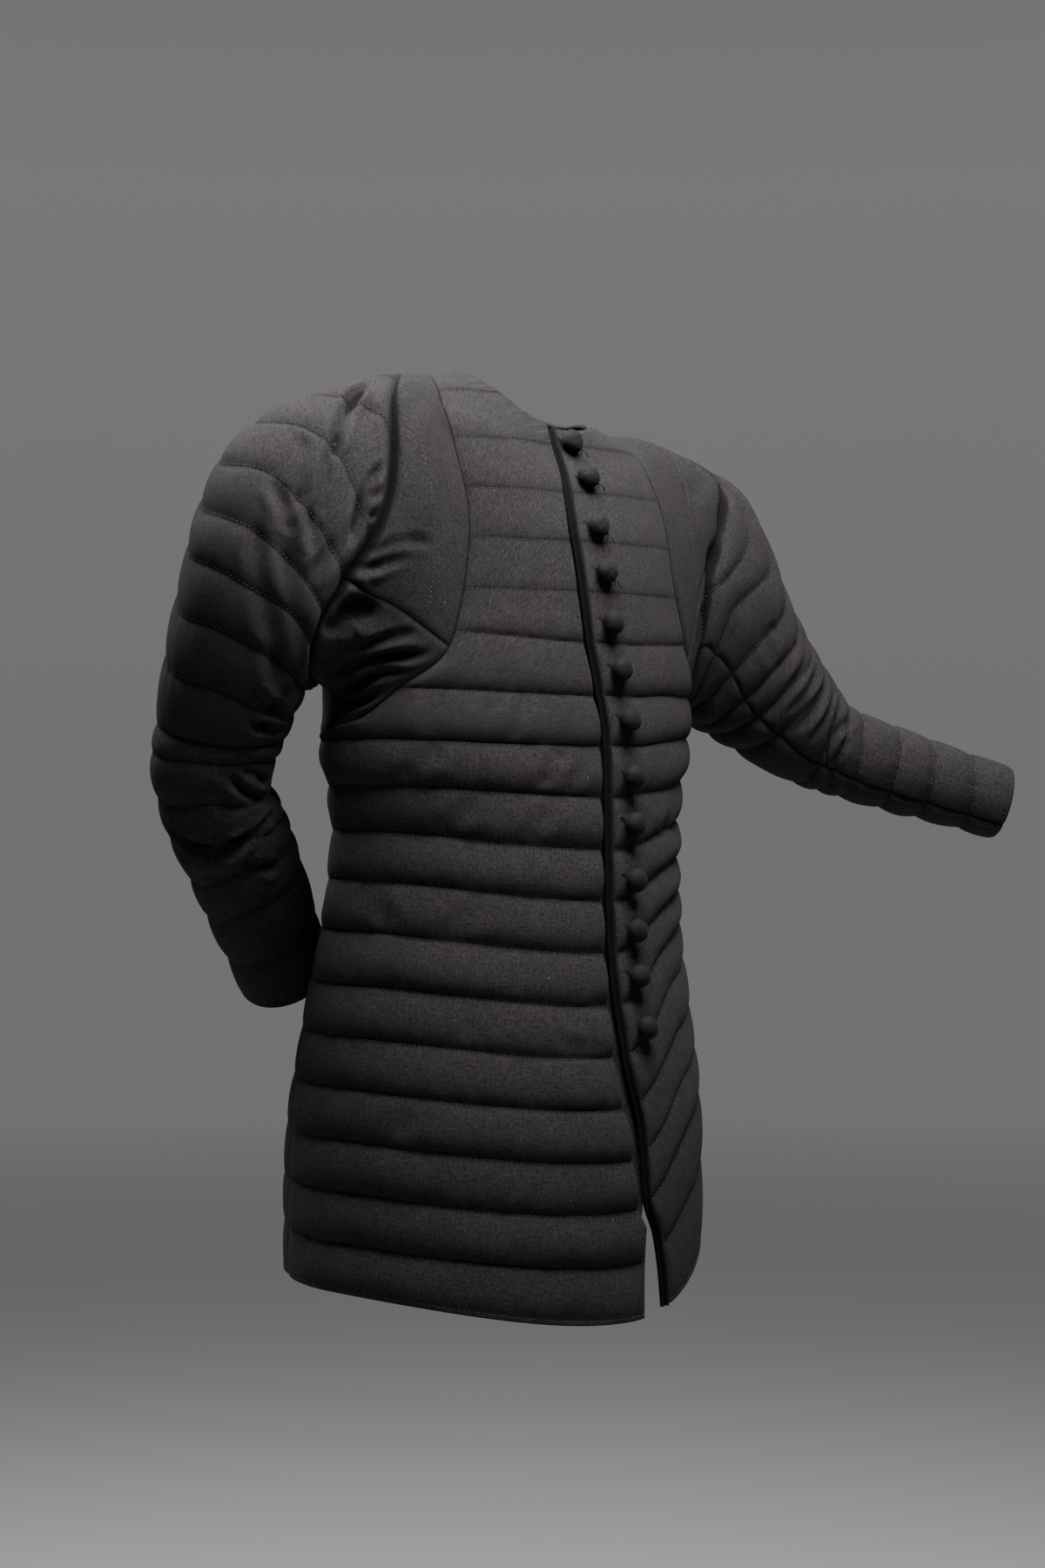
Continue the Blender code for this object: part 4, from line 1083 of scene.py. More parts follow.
def cloth_piece(name, points, normals, height, relief, edges, material, droop=0.0, quilt=None,
                tucked=None):
    """One fine padded shell over a form, kept with its final outer face for later detail."""
    quilt = relief if quilt is None else quilt
    sunk, dark = tucked or (0.0 * height, 0.0 * height)
    if (grid_normals(points) * normals).sum() < 0.0:
        grids = (points, normals, height, relief, quilt, sunk, dark)
        points, normals, height, relief, quilt, sunk, dark = [grid[:, ::-1] for grid in grids]
        edges = edges and (edges[0], edges[1][::-1])
    rim = 0.0 * height
    if edges:
        height, rim, painted_seam_shade = settle(height, points, edges)
        # Painted shade beside the seams, carried into the relief that the shader reads.
        relief = relief * painted_seam_shade
    # Painted shade in the tuck's valley, through the relief.
    height, relief = height + sunk, hollow(relief, dark)
    outer = points + normals * (height - rim)[..., None]
    outer[..., 2] -= droop * relief * np.clip(height / FULL_DROOP, 0.0, 1.0)
    behind = WALL - INNER_SPARE - 0.25 * np.minimum(height, 0.002) - 0.5 * rim
    inner = points - normals * np.maximum(behind, LEAST_WALL - height)[..., None]
    outer, inner = pull_in(outer), pull_in(inner)
    uv = np.stack((run_length(points, 1), run_length(points, 0)), axis=-1)
    made = shell(name, outer, inner, relief, material, uv)
    PANELS[name] = {"base": points, "outer": outer, "normal": grid_normals(outer), "quilt": quilt}
    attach(made, "root")
    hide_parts(name[len("cloth_"):])


def body_border(turns_from, side, step):
    """Side seam, one half of the armhole and the shoulder seam as (angle, row, turn, share)."""
    below, round_hole, above = BORDER_LEGS
    seam_end = float(armhole(SIDE_TURN, side)[1])
    turns = np.linspace(SIDE_TURN, turns_from, round_hole + 1)
    angle, row = armhole(turns, side)
    angle = np.concatenate((np.full(below, side * SIDE_SEAM), angle, np.full(above, side * 90.0)))
    shoulder = np.linspace(row[-1], NECK_ROW, above + 1)[1:]
    row = np.concatenate((np.linspace(0.0, seam_end, below + 1)[:-1], row, shoulder))
    length = run_length(body(angle, row), 0)
    share = spaced(length[-1], step)
    index = np.arange(len(length), dtype=float)
    place = np.interp(share * length[-1], length, index)
    on_hole = (place >= below) & (place <= below + round_hole)
    turn = np.interp(place, index[below:below + round_hole + 1], turns)
    exact = armhole(np.where(on_hole, turn, 0.0), side)
    angle = np.where(on_hole, exact[0], np.interp(place, index, angle))
    row = np.where(on_hole, exact[1], np.interp(place, index, row))
    return angle, row, np.where(on_hole, turn, np.nan), share


def free_rows(row, turn, share):
    """Rows along a panel's centre edge, level with its side seam and spread evenly above."""
    level = LEVEL_SHARE * share[np.flatnonzero(np.isfinite(turn))[0]]
    top = row[np.searchsorted(share, level)]
    even = top + (NECK_ROW - top) * np.clip((share - level) / (1.0 - level), 0.0, 1.0)
    return np.where(share > level, row + EVEN_SHARE * (even - row), row)


def lean_to_armhole(normals, points, turn, column_at, side):
    """Turn a body panel's normals toward the armhole's own direction beside its border."""
    on_hole = np.flatnonzero(np.isfinite(turn))
    first, last = on_hole[0], on_hole[-1]
    delta = np.zeros((len(turn), 3))
    border = normals[:, column_at]
    delta[on_hole] = armhole_way(turn[on_hole], side) - border[on_hole]
    line = run_length(points[:, column_at], 0)
    for rows, end in ((slice(0, first), first), (slice(last + 1, None), last)):
        away = np.abs(line[rows] - line[end])
        delta[rows] = delta[end] * np.exp(-(away / CORNER_FADE) ** 2)[:, None]
    along = run_length(points, 1)
    away = np.abs(along - along[:, [column_at]])
    normals += delta[:, None, :] * (1.0 - ease(away / BLEND_REACH))[..., None]
    return normals / np.linalg.norm(normals, axis=-1, keepdims=True)


def body_height(angle, row, points, seed):
    """Height of the quilted body cloth and how full its padding is."""
    quilt = body_quilt(angle, row, points)
    from_front = np.abs((angle + 180.0) % 360.0 - 180.0)
    behind_seam = (from_front - SIDE_SEAM - SIDE_FLAT_PLACE) / SIDE_FLAT_WIDTH
    rise = read(BODY_QUILT, QUILT_COLUMNS, "rise", quilt)
    rise = rise * (1.0 - SIDE_FLAT * np.exp(-behind_seam ** 2))
    over_left = ease(angle / SKIRT_FRONT) * ease((SIDE_SEAM + SKIRT_SIDE - angle) / SKIRT_SIDE)
    rise = rise * (1.0 - SKIRT_FLAT * ease((SKIRT_TOP - row) / SKIRT_FADE) * over_left)
    along = np.radians(angle) * BODY_RADIUS
    height, full = channel(quilt, along, rise, seed)
    height += BODY_SWAY * uneven(along / BODY_SWAY_LENGTH, row * 0.5, seed + 9)
    height += BODY_FOLD_SHARE * fold_height(points, fold_lines(BODY_FOLDS, body))
    return quilt, height, full


def binding_inner(row):
    """Angle round the body of the seam between the edge strip and the upper front."""
    depth = read(BODY, BODY_COLUMNS, "front", row)
    return front_edge(row, "left_front_x") + np.degrees(BINDING_WIDTH / depth)


def front_button_place(row):
    """Angle round the body of the button on that row."""
    inset = NECK_INSET + (BUTTON_INSET - NECK_INSET) * ease((NECK_ROW - row) / NECK_INSET_ROWS)
    depth = read(BODY, BODY_COLUMNS, "front", row)
    return front_edge(row, "left_front_x") + np.degrees(np.arctan(inset / depth))


def closer_at_lap(width, step):
    """Columns over the lower front, closest where the upper front's edge lies on it."""
    share = np.linspace(0.0, 1.0, 401)
    close = 1.0 + LAP_CLOSER * np.exp(-((share - LAP_SHARE) / LAP_SPREAD) ** 2)
    gone = np.concatenate(([0.0], np.cumsum(0.5 * (close[1:] + close[:-1]))))
    return np.interp(spaced(width * LAP_EXTRA, step), gone / gone[-1], share)


def make_front(side, material):
    angle_out, row_out, turn, share = body_border(0.0, side, STEP)
    edge_row = free_rows(row_out, turn, share)
    edge = binding_inner(edge_row) if side > 0 else front_edge(edge_row, "right_front_x")
    spread = spaced if side > 0 else closer_at_lap
    across = spread(FRONT_WIDTH, FRONT_STEP)
    angle = edge[:, None] + (angle_out - edge)[:, None] * across
    row = edge_row[:, None] + (row_out - edge_row)[:, None] * across ** ROW_BEND
    points = body(angle, row)
    normals = lean_to_armhole(body_normal(angle, row), points, turn, -1, side)
    quilt, height, full = body_height(angle, row, points, FRONT_SEEDS[side])
    if side > 0:
        for button_row in FRONT_BUTTON_ROWS:
            at = body(front_button_place(button_row), button_row)
            away = np.linalg.norm(points - at, axis=-1)
            height -= BUTTON_DENT * np.exp(-(away / BUTTON_DENT_WIDTH) ** 2)
    else:
        from_edge = angle - front_edge(row, "left_front_x")
        lap = ease((from_edge + read(LAP, LAP_COLUMNS, "reach", row)) / LAP_SLOPE)
        height = height * (1.0 - LAP_FLAT * lap) - LAP_DEPTH * lap
        points = points - normals * ((WALL + LAP_CLEARANCE + LAP_SINK) * lap)[..., None]
    ends = ("sewn" if side > 0 else "free", "side")
    cloth_piece(f"cloth_front_{WORDS[side]}", points, normals, height, full,
                (("free", "free"), ends), material, droop=BODY_DROOP, quilt=quilt)


def make_back(material):
    left_angle, left_row, left_turn, share = body_border(360.0, 1, BACK_STEP)
    right = body_border(360.0, -1, BACK_STEP)
    on_hole = np.isfinite(left_turn)
    right_turn = np.interp(share, right[3], np.nan_to_num(right[2], nan=-1.0))
    right_turn = np.where(on_hole, np.clip(right_turn, SIDE_TURN, 360.0), np.nan)
    exact = armhole(np.where(on_hole, right_turn, SIDE_TURN), -1)
    right_angle = np.where(on_hole, exact[0], np.interp(share, right[3], right[0])) + 360.0
    right_row = np.where(on_hole, exact[1], np.interp(share, right[3], right[1]))
    middle_row = free_rows(left_row, left_turn, share)
    across = spaced(BACK_WIDTH, BACK_STEP)
    toward_side = np.abs(2.0 * across - 1.0) ** ROW_BEND
    angle = left_angle[:, None] + (right_angle - left_angle)[:, None] * across
    side_row = left_row[:, None] + (right_row - left_row)[:, None] * across
    row = middle_row[:, None] + (side_row - middle_row[:, None]) * toward_side
    points = body(angle, row)
    normals = lean_to_armhole(body_normal(angle, row), points, left_turn, 0, 1)
    normals = lean_to_armhole(normals, points, right_turn, -1, -1)
    quilt, height, full = body_height(angle, row, points, BACK_SEED)
    cloth_piece("cloth_back", points, normals, height, full, (("free", "free"), ("side", "side")),
                material, droop=BODY_DROOP, quilt=quilt)


def make_binding(material):
    """Corded strip along the upper front's edge: a sunk edge darkened with painted shadow, one
    round cord and its foot.
    """
    row = NECK_ROW * spaced(BINDING_LENGTH, STEP)[:, None]
    across = np.linspace(0.0, 1.0, BINDING_POINTS)
    start, stop = front_edge(row, "left_front_x"), binding_inner(row)
    angle = start + (stop - start) * across
    row = np.broadcast_to(row, angle.shape)
    points = body(angle, row)
    unpinched = np.abs(np.sin(math.pi * body_quilt(angle, row, points))) ** 0.5
    cord = np.sqrt(np.clip(1.0 - ((across - CORD_PLACE) / CORD_HALF) ** 2, 0.0, 1.0))
    height = CORD_FOOT + (CORD_HEIGHT + CORD_PINCH * unpinched) * cord
    along = row * PITCH / CORD_LUMP_LENGTH
    height += CORD_LUMP * uneven(along, across[None, :] * 0.5, CORD_SEED)
    outside, inside = [(amount, ease((across - place) / width))
                       for amount, place, width in (OUTSIDE_CORD, INSIDE_CORD)]
    # Painted shadow on the sunk edge and painted shade in the groove beside the cord, carried in
    # the relief.
    dark = outside[0] * (1.0 - outside[1]) + inside[0] * inside[1]
    relief = np.broadcast_to(CORD_RELIEF - dark, height.shape)
    cloth_piece("cloth_front_edge_binding", points, body_normal(angle, row), height, relief, None,
                material)


def sleeve_ways(turn, ring, side):
    """Normals of a sleeve, turned to the armhole's own direction beside it."""
    normals = sleeve_normal(turn, ring, side)
    near = ring < BLEND_RINGS
    if near.any():
        start = sleeve_normal(turn[near], np.zeros(near.sum()), side)
        delta = armhole_way(turn[near], side) - start
        normals[near] += delta * (1.0 - ease(ring[near] / BLEND_RINGS))[:, None]
        normals /= np.linalg.norm(normals, axis=-1, keepdims=True)
    return normals


def sleeve_grid(turns, ring, side):
    """Turn round the arm, points and normals for the rings of one piece of a sleeve."""
    turn = np.broadcast_to(turns, ring.shape).copy()
    return turn, sleeve(turn, ring, side), sleeve_ways(turn, ring, side)


def sleeve_height(turn, ring, points, side):
    quilt = sleeve_quilt(turn, ring, side)
    rise = read(SLEEVE_QUILT, QUILT_COLUMNS, "rise", ring)
    above, below = SLEEVE_FULLNESS[side]
    rise = rise * (above + below * ease((ring - ELBOW_RING) / 2.0))
    along = np.radians(turn) * SLEEVE_RADIUS
    seed = SLEEVE_SEEDS[side]
    height, full = channel(quilt, along, rise, seed)
    height += SLEEVE_SWAY * uneven(along / SLEEVE_SWAY_LENGTH, ring * 0.7, seed + 9)
    table = LEFT_SLEEVE_FOLDS if side > 0 else RIGHT_SLEEVE_FOLDS
    folds = fold_height(points, fold_lines(table, lambda u, v: sleeve(u, v, side)))
    # Painted shade in the sleeve's folds, through the relief.
    return quilt, bottomed(height + folds), hollow(full, HOLLOW_DARK * ease(-folds / HOLLOW))


def make_sleeve(side, material):
    for part, first, last, width, low, high, length in SLEEVE_PARTS:
        turns = first + (last - first) * spaced(width, STEP)
        ends = {"start": sleeve_start(turns, side), "elbow": elbow_seam(turns, side),
                "cuff": np.full(len(turns), float(LAST_RING))}
        ring = ends[low] + (ends[high] - ends[low]) * spaced(length, STEP)[:, None]
        turn, points, normals = sleeve_grid(turns, ring, side)
        quilt, height, full = sleeve_height(turn, ring, points, side)
        edges = (("sewn", "free" if high == "cuff" else "sewn"), ("sewn", "sewn"))
        tucked = None
        if low == "start":
            tucked = tuck(turn, run_length(points, 0), side, TUCK_SWELLS[side])
        cloth_piece(f"cloth_sleeve_{part}_{WORDS[side]}", points, normals, height, full, edges,
                    material, droop=SLEEVE_DROOP, quilt=quilt, tucked=tucked)


def make_gussets(side, material):
    folds = LEFT_GUSSET_FOLDS if side > 0 else RIGHT_GUSSET_FOLDS
    lines = fold_lines(folds, lambda u, v: sleeve(u, v, side))
    seams = (GUSSET_ENDS[0], GUSSET_SEAM, GUSSET_ENDS[1])
    for part, first, last, width in zip(("upper", "lower"), seams, seams[1:], GUSSET_WIDTHS):
        turns = first + (last - first) * spaced(width, STEP)
        ring = sleeve_start(turns, side) * spaced(GUSSET_DEPTH, STEP)[:, None]
        turn, points, normals = sleeve_grid(turns, ring, side)
        along = np.radians(turn) * GUSSET_RADIUS
        sway = uneven(along / GUSSET_SWAY_LENGTH, ring * 0.9, GUSSET_SEEDS[side])
        laid = bottomed(fold_height(points, lines))
        full = GUSSET_RELIEF[0] + GUSSET_RELIEF[1] * sway
        # Painted shade in the gusset's folds, through the relief.
        full = hollow(full, HOLLOW_DARK * ease(-laid / HOLLOW))
        gone = run_length(points, 0)
        cloth_piece(f"cloth_gusset_{part}_{WORDS[side]}", points, normals,
                    GUSSET_LEVEL + GUSSET_SWAY * sway + laid, full,
                    (("sewn", "sewn"), ("sewn", "sewn")), material,
                    tucked=tuck(turn, gone[-1] - gone, side))


# ---- stitches ----------------------------------------------------------------------------------
def crossing(field, level, points, normals):
    """Lines of points where a field on a grid passes a level, one point to a column."""
    over = (field[:-1] < level) & (field[1:] >= level)
    found = over.any(axis=0)
    i = over.argmax(axis=0)
    j = np.arange(field.shape[1])
    low, high = field[i, j], field[i + 1, j]
    t = ((level - low) / np.where(high > low, high - low, 1.0))[:, None]
    at = points[i, j] * (1.0 - t) + points[i + 1, j] * t
    way = normals[i, j]
    lines = []
    start = None
    for k in range(len(found) + 1):
        here = k < len(found) and found[k]
        if here and start is None:
            start = k
        if not here and start is not None:
            if k - start > 4:
                lines.append((at[start:k], way[start:k]))
            start = None
    return lines


def along_line(values, run, places):
    """Three-part values of a line's points, read at places along it."""
    return np.stack([np.interp(places, run, values[:, k]) for k in range(3)], -1)


def stitch_row(points, normals):
    """Starts, ends and normals of the stitches along a line."""
    run = run_length(points, 0)
    if run[-1] < 2.0 * STITCH_INSET + STITCH_PITCH:
        return None
    centres = np.arange(STITCH_INSET, run[-1] - STITCH_INSET, STITCH_PITCH)
    centres = centres + STITCH_STRAY * lattice(np.arange(len(centres)), seed=STITCH_SEED)
    half = 0.5 * STITCH_LENGTH
    up = along_line(normals, run, centres)
    return (along_line(points, run, centres - half), along_line(points, run, centres + half),
            up / np.linalg.norm(up, axis=1, keepdims=True))


def make_stitches(name, rows, material):
    """All stitches of some rows as one mesh of small spindles of thread."""
    rows = [row for row in rows if row is not None]
    start, stop, up = (np.concatenate([row[k] for row in rows]) for k in range(3))
    across = np.cross(stop - start, up)
    across /= np.linalg.norm(across, axis=1, keepdims=True)
    across *= STITCH_RADIUS
    up = up * STITCH_RADIUS
    verts = [start - up]
    for share in (STITCH_SHOULDER, 1.0 - STITCH_SHOULDER):
        centre = start * (1.0 - share) + stop * share + up * 0.8
        verts += [centre + across, centre + up * 0.9, centre - across, centre - up * 0.9]
    verts.append(stop - up)
    verts = np.stack(verts, axis=1)
    pattern = []
    for k in range(4):
        n = (k + 1) % 4
        pattern += [(0, 1 + k, 1 + n), (1 + k, 5 + k, 5 + n), (1 + k, 5 + n, 1 + n),
                    (9, 5 + n, 5 + k)]
    faces = (np.arange(len(verts))[:, None, None] * 10 + np.array(pattern)).reshape(-1, 3)
    made = add_object(name, verts.reshape(-1, 3).tolist(), faces.tolist(), material)
    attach(made, "root")


def quilting_stitches(names):
    rows = []
    for panel in (PANELS[name] for name in names):
        quilt = panel["quilt"]
        for number in range(math.ceil(quilt.min()), math.floor(quilt.max()) + 1):
            lines = crossing(quilt, number - LINE_STITCHES, panel["outer"], panel["normal"])
            rows += [stitch_row(*line) for line in lines]
    return rows


def edge_stitches(name, step):
    """A row of stitches beside the first border of a panel, or beside the last with step -1."""
    outer, normals = PANELS[name]["outer"][::step], PANELS[name]["normal"][::step]
    lines = crossing(run_length(outer, 0), EDGE_STITCHES, outer, normals)
    return [stitch_row(*line) for line in lines]


def gusset_stitches(side):
    """The row of stitches that runs down inside an upper gusset, beside the armhole."""
    surface = Surface(f"cloth_gusset_upper_{WORDS[side]}")
    turns = np.linspace(GUSSET_STITCHING[0][0], GUSSET_STITCHING[-1][0], 90)
    rings = read(GUSSET_STITCHING, ("turn", "ring"), "ring", turns)
    rings *= LEFT_GUSSET_RINGS if side > 0 else 1.0
    found = [surface.at(point, 4) for point in sleeve(turns, rings, side)]
    return [stitch_row(*(np.array(values) for values in zip(*found)))]


def make_all_stitches(material):
    body_names = ("cloth_front_right", "cloth_front_left", "cloth_back")
    rows = quilting_stitches(body_names)
    for name in body_names:
        rows += edge_stitches(name, 1) + edge_stitches(name, -1)
    make_stitches("stitches_body", rows, material)
    for side, word in WORDS.items():
        names = [f"cloth_sleeve_{part[0]}_{word}" for part in SLEEVE_PARTS]
        rows = quilting_stitches(names)
        for name in names[1:]:
            rows += edge_stitches(name, -1)
        make_stitches(f"stitches_sleeve_{word}", rows + gusset_stitches(side), material)


# ---- buttons -----------------------------------------------------------------------------------
class Surface:
    """Final outer face of a panel, read near any point."""

    def __init__(self, name):
        panel = PANELS[name]
        self.outer = panel["outer"].reshape(-1, 3)
        self.normal = panel["normal"].reshape(-1, 3)
        self.tree = KDTree(len(self.outer))
        for k, point in enumerate(panel["base"].reshape(-1, 3).tolist()):
            self.tree.insert(point, k)
        self.tree.balance()

    def at(self, point, count=9):
        found = self.tree.find_n(Vector(point), count)
        index = [hit[1] for hit in found]
        weight = np.array([1.0 / (hit[2] + 0.001) for hit in found])
        weight /= weight.sum()
        normal = (self.normal[index] * weight[:, None]).sum(axis=0)
        return (self.outer[index] * weight[:, None]).sum(axis=0), normal / np.linalg.norm(normal)


def local_frame(normal):
    """Sideways, upward and outward directions at a face."""
    out = Vector(normal).normalized()
    side = Vector((0.0, 0.0, 1.0)).cross(out).normalized()
    return side, out.cross(side), out


def circle(sides):
    """Angles of the corners of a ring."""
    return [2.0 * math.pi * k / sides for k in range(sides)]


def band(first, rings, sides, loop=False, flip=False):
    """Four-sided faces that join rings of points, each ring to the next one."""
    faces = []
    for k in range(rings if loop else rings - 1):
        low, high = first + k * sides, first + (k + 1) % rings * sides
        for s in range(sides):
            n = (s + 1) % sides
            face = (low + s, low + n, high + n, high + s)
            faces.append((face[0], face[3], face[2], face[1]) if flip else face)
    return faces


def tube(verts, faces, path, radius):
    """Add a closed tube of thread along a path of points."""
    first = len(verts)
    for k, point in enumerate(path):
        ahead = (path[min(k + 1, len(path) - 1)] - path[max(k - 1, 0)]).normalized()
        side = ahead.orthogonal().normalized()
        other = ahead.cross(side)
        for a in circle(THREAD_SIDES):
            verts.append(point + (side * math.cos(a) + other * math.sin(a)) * radius)
    last = first + (len(path) - 1) * THREAD_SIDES
    faces.extend(band(first, len(path), THREAD_SIDES))
    faces.append(tuple(range(first, first + THREAD_SIDES))[::-1])
    faces.append(tuple(range(last, last + THREAD_SIDES)))


def frayed_thread(base, side, up, out, number, seed):
    """Path of one of the loose threads under a rough button, in radii and heights of it."""
    sway = 0.25 + 0.5 * number + 0.1 * math.sin(seed * 1.7)
    start = base + side * (0.45 + 0.25 * number) - up * 0.62 + out * 0.35
    path = []
    for step in range(7):
        t = step / 6.0
        drop = up * (0.55 + 0.2 * number) * t
        path.append(start - drop + side * sway * t * t + out * 0.25 * math.sin(3.0 * t))
    return path


def make_button(name, node, centre, normal, radius, height, material, rough, seed, sides):
    """Cloth gathered over a domed core on a short shank."""
    side, up, out = local_frame(normal)
    side, up, out = side * radius, up * radius, out * height
    base = Vector(centre)
    turn = np.array(circle(sides))
    cosine, sine = np.cos(turn), np.sin(turn)
    verts = [base + out * BUTTON_SECTION[0][1]]
    for level, (across, rise) in enumerate(BUTTON_SECTION):
        lump = uneven(cosine * 1.6 + level * 0.21, sine * 1.6 + level * 0.17, seed)
        gather = GATHER * ripple(turn * 3.2, np.full(sides, level * 0.35), seed + 3) * (1.0 - rise)
        if rough:
            coarse = ripple(turn * 1.9 + level * 0.5, np.full(sides, level * 0.6), seed + 7)
            lump = lump * 1.7 + 0.8 * coarse
        spread = across * (1.0 + COVER_LUMP * lump + gather)
        lift = rise + COVER_LIFT[rough] * lump * (rise > 0.1)
        places = zip((cosine * spread).tolist(), (sine * spread).tolist(), lift.tolist())
        verts += [base + side * x + up * y + out * z for x, y, z in places]
    rings = len(BUTTON_SECTION)
    top = 1 + (rings - 1) * sides
    verts.append(base + out * BUTTON_TOP)
    faces = band(1, rings, sides)
    for a in range(sides):
        n = (a + 1) % sides
        faces += [(0, 1 + n, 1 + a), (top + a, top + n, len(verts) - 1)]
    if rough:
        for number in range(FRAYED_THREADS):
            tube(verts, faces, frayed_thread(base, side, up, out, number, seed), FRAYED_RADIUS)
    made = add_object(name, [tuple(v) for v in verts], faces, material)
    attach(made, "root")
    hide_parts(node)


def round_slit(share):
    """Place and outward direction at a share of the way round a buttonhole."""
    lower, t = divmod(share, 0.5)
    start, stop = (SLIT_FAR, SLIT_NEAR) if lower else (SLIT_NEAR, SLIT_FAR)
    bend = max(t - SLIT_SIDE, 0.0) / (0.5 - SLIT_SIDE)
    turn = math.pi * (0.5 + bend - lower)
    x = stop + SLIT_HALF * math.cos(turn) if bend else start + (stop - start) * t / SLIT_SIDE
    return x, SLIT_HALF * math.sin(turn), turn


def buttonhole(verts, faces, centre, normal, seed):
    """Worked slit running from under a button toward the front's edge."""
    side, up, out = local_frame(normal)
    cosine, sine = math.cos(math.radians(SLIT_LEAN)), math.sin(math.radians(SLIT_LEAN))
    side, up = side * cosine - up * sine, up * cosine + side * sine
    base = Vector(centre) + out * SLIT_LIFT
    first = len(verts)
    for k in range(SLIT_STEPS):
        x, y, turn = round_slit(k / SLIT_STEPS)
        ridge = SLIT_THREAD * (1.0 + 0.22 * (k % 2) + 0.10 * math.sin(k * 2.3 + seed))
        for a in circle(THREAD_SIDES):
            spread, lift = math.cos(a) * ridge, math.sin(a) * ridge * 0.75
            verts.append(base + side * (x + math.cos(turn) * spread)
                         + up * (y + math.sin(turn) * spread) + out * lift)
    faces.extend(band(first, SLIT_STEPS, THREAD_SIDES, loop=True, flip=True))


def make_front_buttons(cover, thread):
    front = Surface("cloth_front_left")
    verts, faces = [], []
    for number, row in enumerate(FRONT_BUTTON_ROWS, start=1):
        angle = front_button_place(row)
        centre, normal = front.at(body(angle, row))
        true = body_normal(np.asarray(angle), np.asarray(row))
        normal = normal * (1.0 - BUTTON_TRUE) + true * BUTTON_TRUE
        buttonhole(verts, faces, centre, normal, number)
        tilt = lattice(np.array([number, number + 50, number + 90]), seed=TILT_SEED)
        make_button(f"covered_front_button_{number:02d}", f"front_button_{number:02d}",
                    centre + normal * BUTTON_LIFT, normal + tilt * BUTTON_TILT, BUTTON_RADIUS,
                    BUTTON_HEIGHT, cover, number <= ROUGH_BUTTONS, FRONT_BUTTON_SEED + number,
                    BUTTON_SIDES)
    holes = add_object("buttonholes", [tuple(v) for v in verts], faces, thread)
    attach(holes, "root")


def make_cuff_buttons(side, cover):
    cuff = Surface(f"cloth_sleeve_under_{WORDS[side]}")
    for number, ring in enumerate(CUFF_BUTTON_RINGS, start=1):
        at = sleeve(np.asarray(CUFF_BUTTON_TURN), np.asarray(ring), side)
        centre, normal = cuff.at(at)
        node = f"cuff_button_{WORDS[side]}_{number}"
        make_button(f"covered_{node}", node, centre + normal * CUFF_BUTTON_LIFT, normal,
                    CUFF_BUTTON_RADIUS, CUFF_BUTTON_HEIGHT, cover, False,
                    CUFF_BUTTON_SEED + number, CUFF_BUTTON_SIDES)


# ---- materials ---------------------------------------------------------------------------------
def times(colour, amount):
    return tuple(c * amount for c in colour)


class Nodes:
    """Short way to build a material's node tree."""

    def __init__(self, name):
        self.material = bpy.data.materials.new(name)
        self.material.use_nodes = True
        self.tree = self.material.node_tree
        self.shader = self.tree.nodes["Principled BSDF"]
        self.place = self.new("TexCoord").outputs["Object"]

    def new(self, kind):
        return self.tree.nodes.new("ShaderNode" + kind)

    def put(self, target, value):
        if isinstance(value, bpy.types.NodeSocket):
            self.tree.links.new(value, target)
        else:
            target.default_value = value

    def math(self, kind, a, b=0.0):
        node = self.new("Math")
        node.operation = kind
        for target, value in zip(node.inputs, (a, b, 0.0)):
            self.put(target, value)
        return node.outputs[0]

    def scaled(self, vector, amounts):
        node = self.new("VectorMath")
        node.operation = "MULTIPLY"
        self.put(node.inputs[0], vector)
        node.inputs[1].default_value = amounts
        return node.outputs[0]

    def noise(self, vector, scale, detail=2.0, rough=0.5):
        node = self.new("TexNoise")
        self.put(node.inputs["Vector"], vector)
        node.inputs["Scale"].default_value = scale
        node.inputs["Detail"].default_value = detail
        node.inputs["Roughness"].default_value = rough
        return node.outputs[0]

    def mix(self, factor, a, b, kind="MIX"):
        node = self.new("Mix")
        node.data_type = "RGBA"
        node.blend_type = kind
        self.put(node.inputs[0], factor)
        for target, value in ((node.inputs[6], a), (node.inputs[7], b)):
            self.put(target, value if isinstance(value, bpy.types.NodeSocket) else (*value, 1.0))
        return node.outputs[2]

    def spread(self, value, low, high, to_low=0.0, to_high=1.0):
        node = self.new("MapRange")
        for target, amount in zip(node.inputs, (value, low, high, to_low, to_high)):
            self.put(target, amount)
        return node.outputs[0]

    def grey(self, level):
        node = self.new("CombineColor")
        for target in node.inputs:
            self.put(target, level)
        return node.outputs[0]

    def surface(self, tone, rough, fixed):
        """Base colour and roughness of the shader, and its values that stay fixed."""
        self.put(self.shader.inputs["Base Color"], tone)
        self.put(self.shader.inputs["Roughness"], rough)
        for name, value in fixed.items():
            self.shader.inputs[name].default_value = value

    def bump(self, height, strength, distance):
        node = self.new("Bump")
        node.inputs["Strength"].default_value = strength
        node.inputs["Distance"].default_value = distance
        self.put(node.inputs["Height"], height)
        self.put(self.shader.inputs["Normal"], node.outputs[0])


def woven(n, cloth, thread):
    """Height of crossing threads of some thickness."""
    split = n.new("SeparateXYZ")
    n.put(split.inputs[0], cloth)
    turn = 2.0 * math.pi / thread
    waves = [n.math("SINE", n.math("MULTIPLY", split.outputs[k], turn)) for k in (0, 1)]
    return n.math("MULTIPLY", *waves)


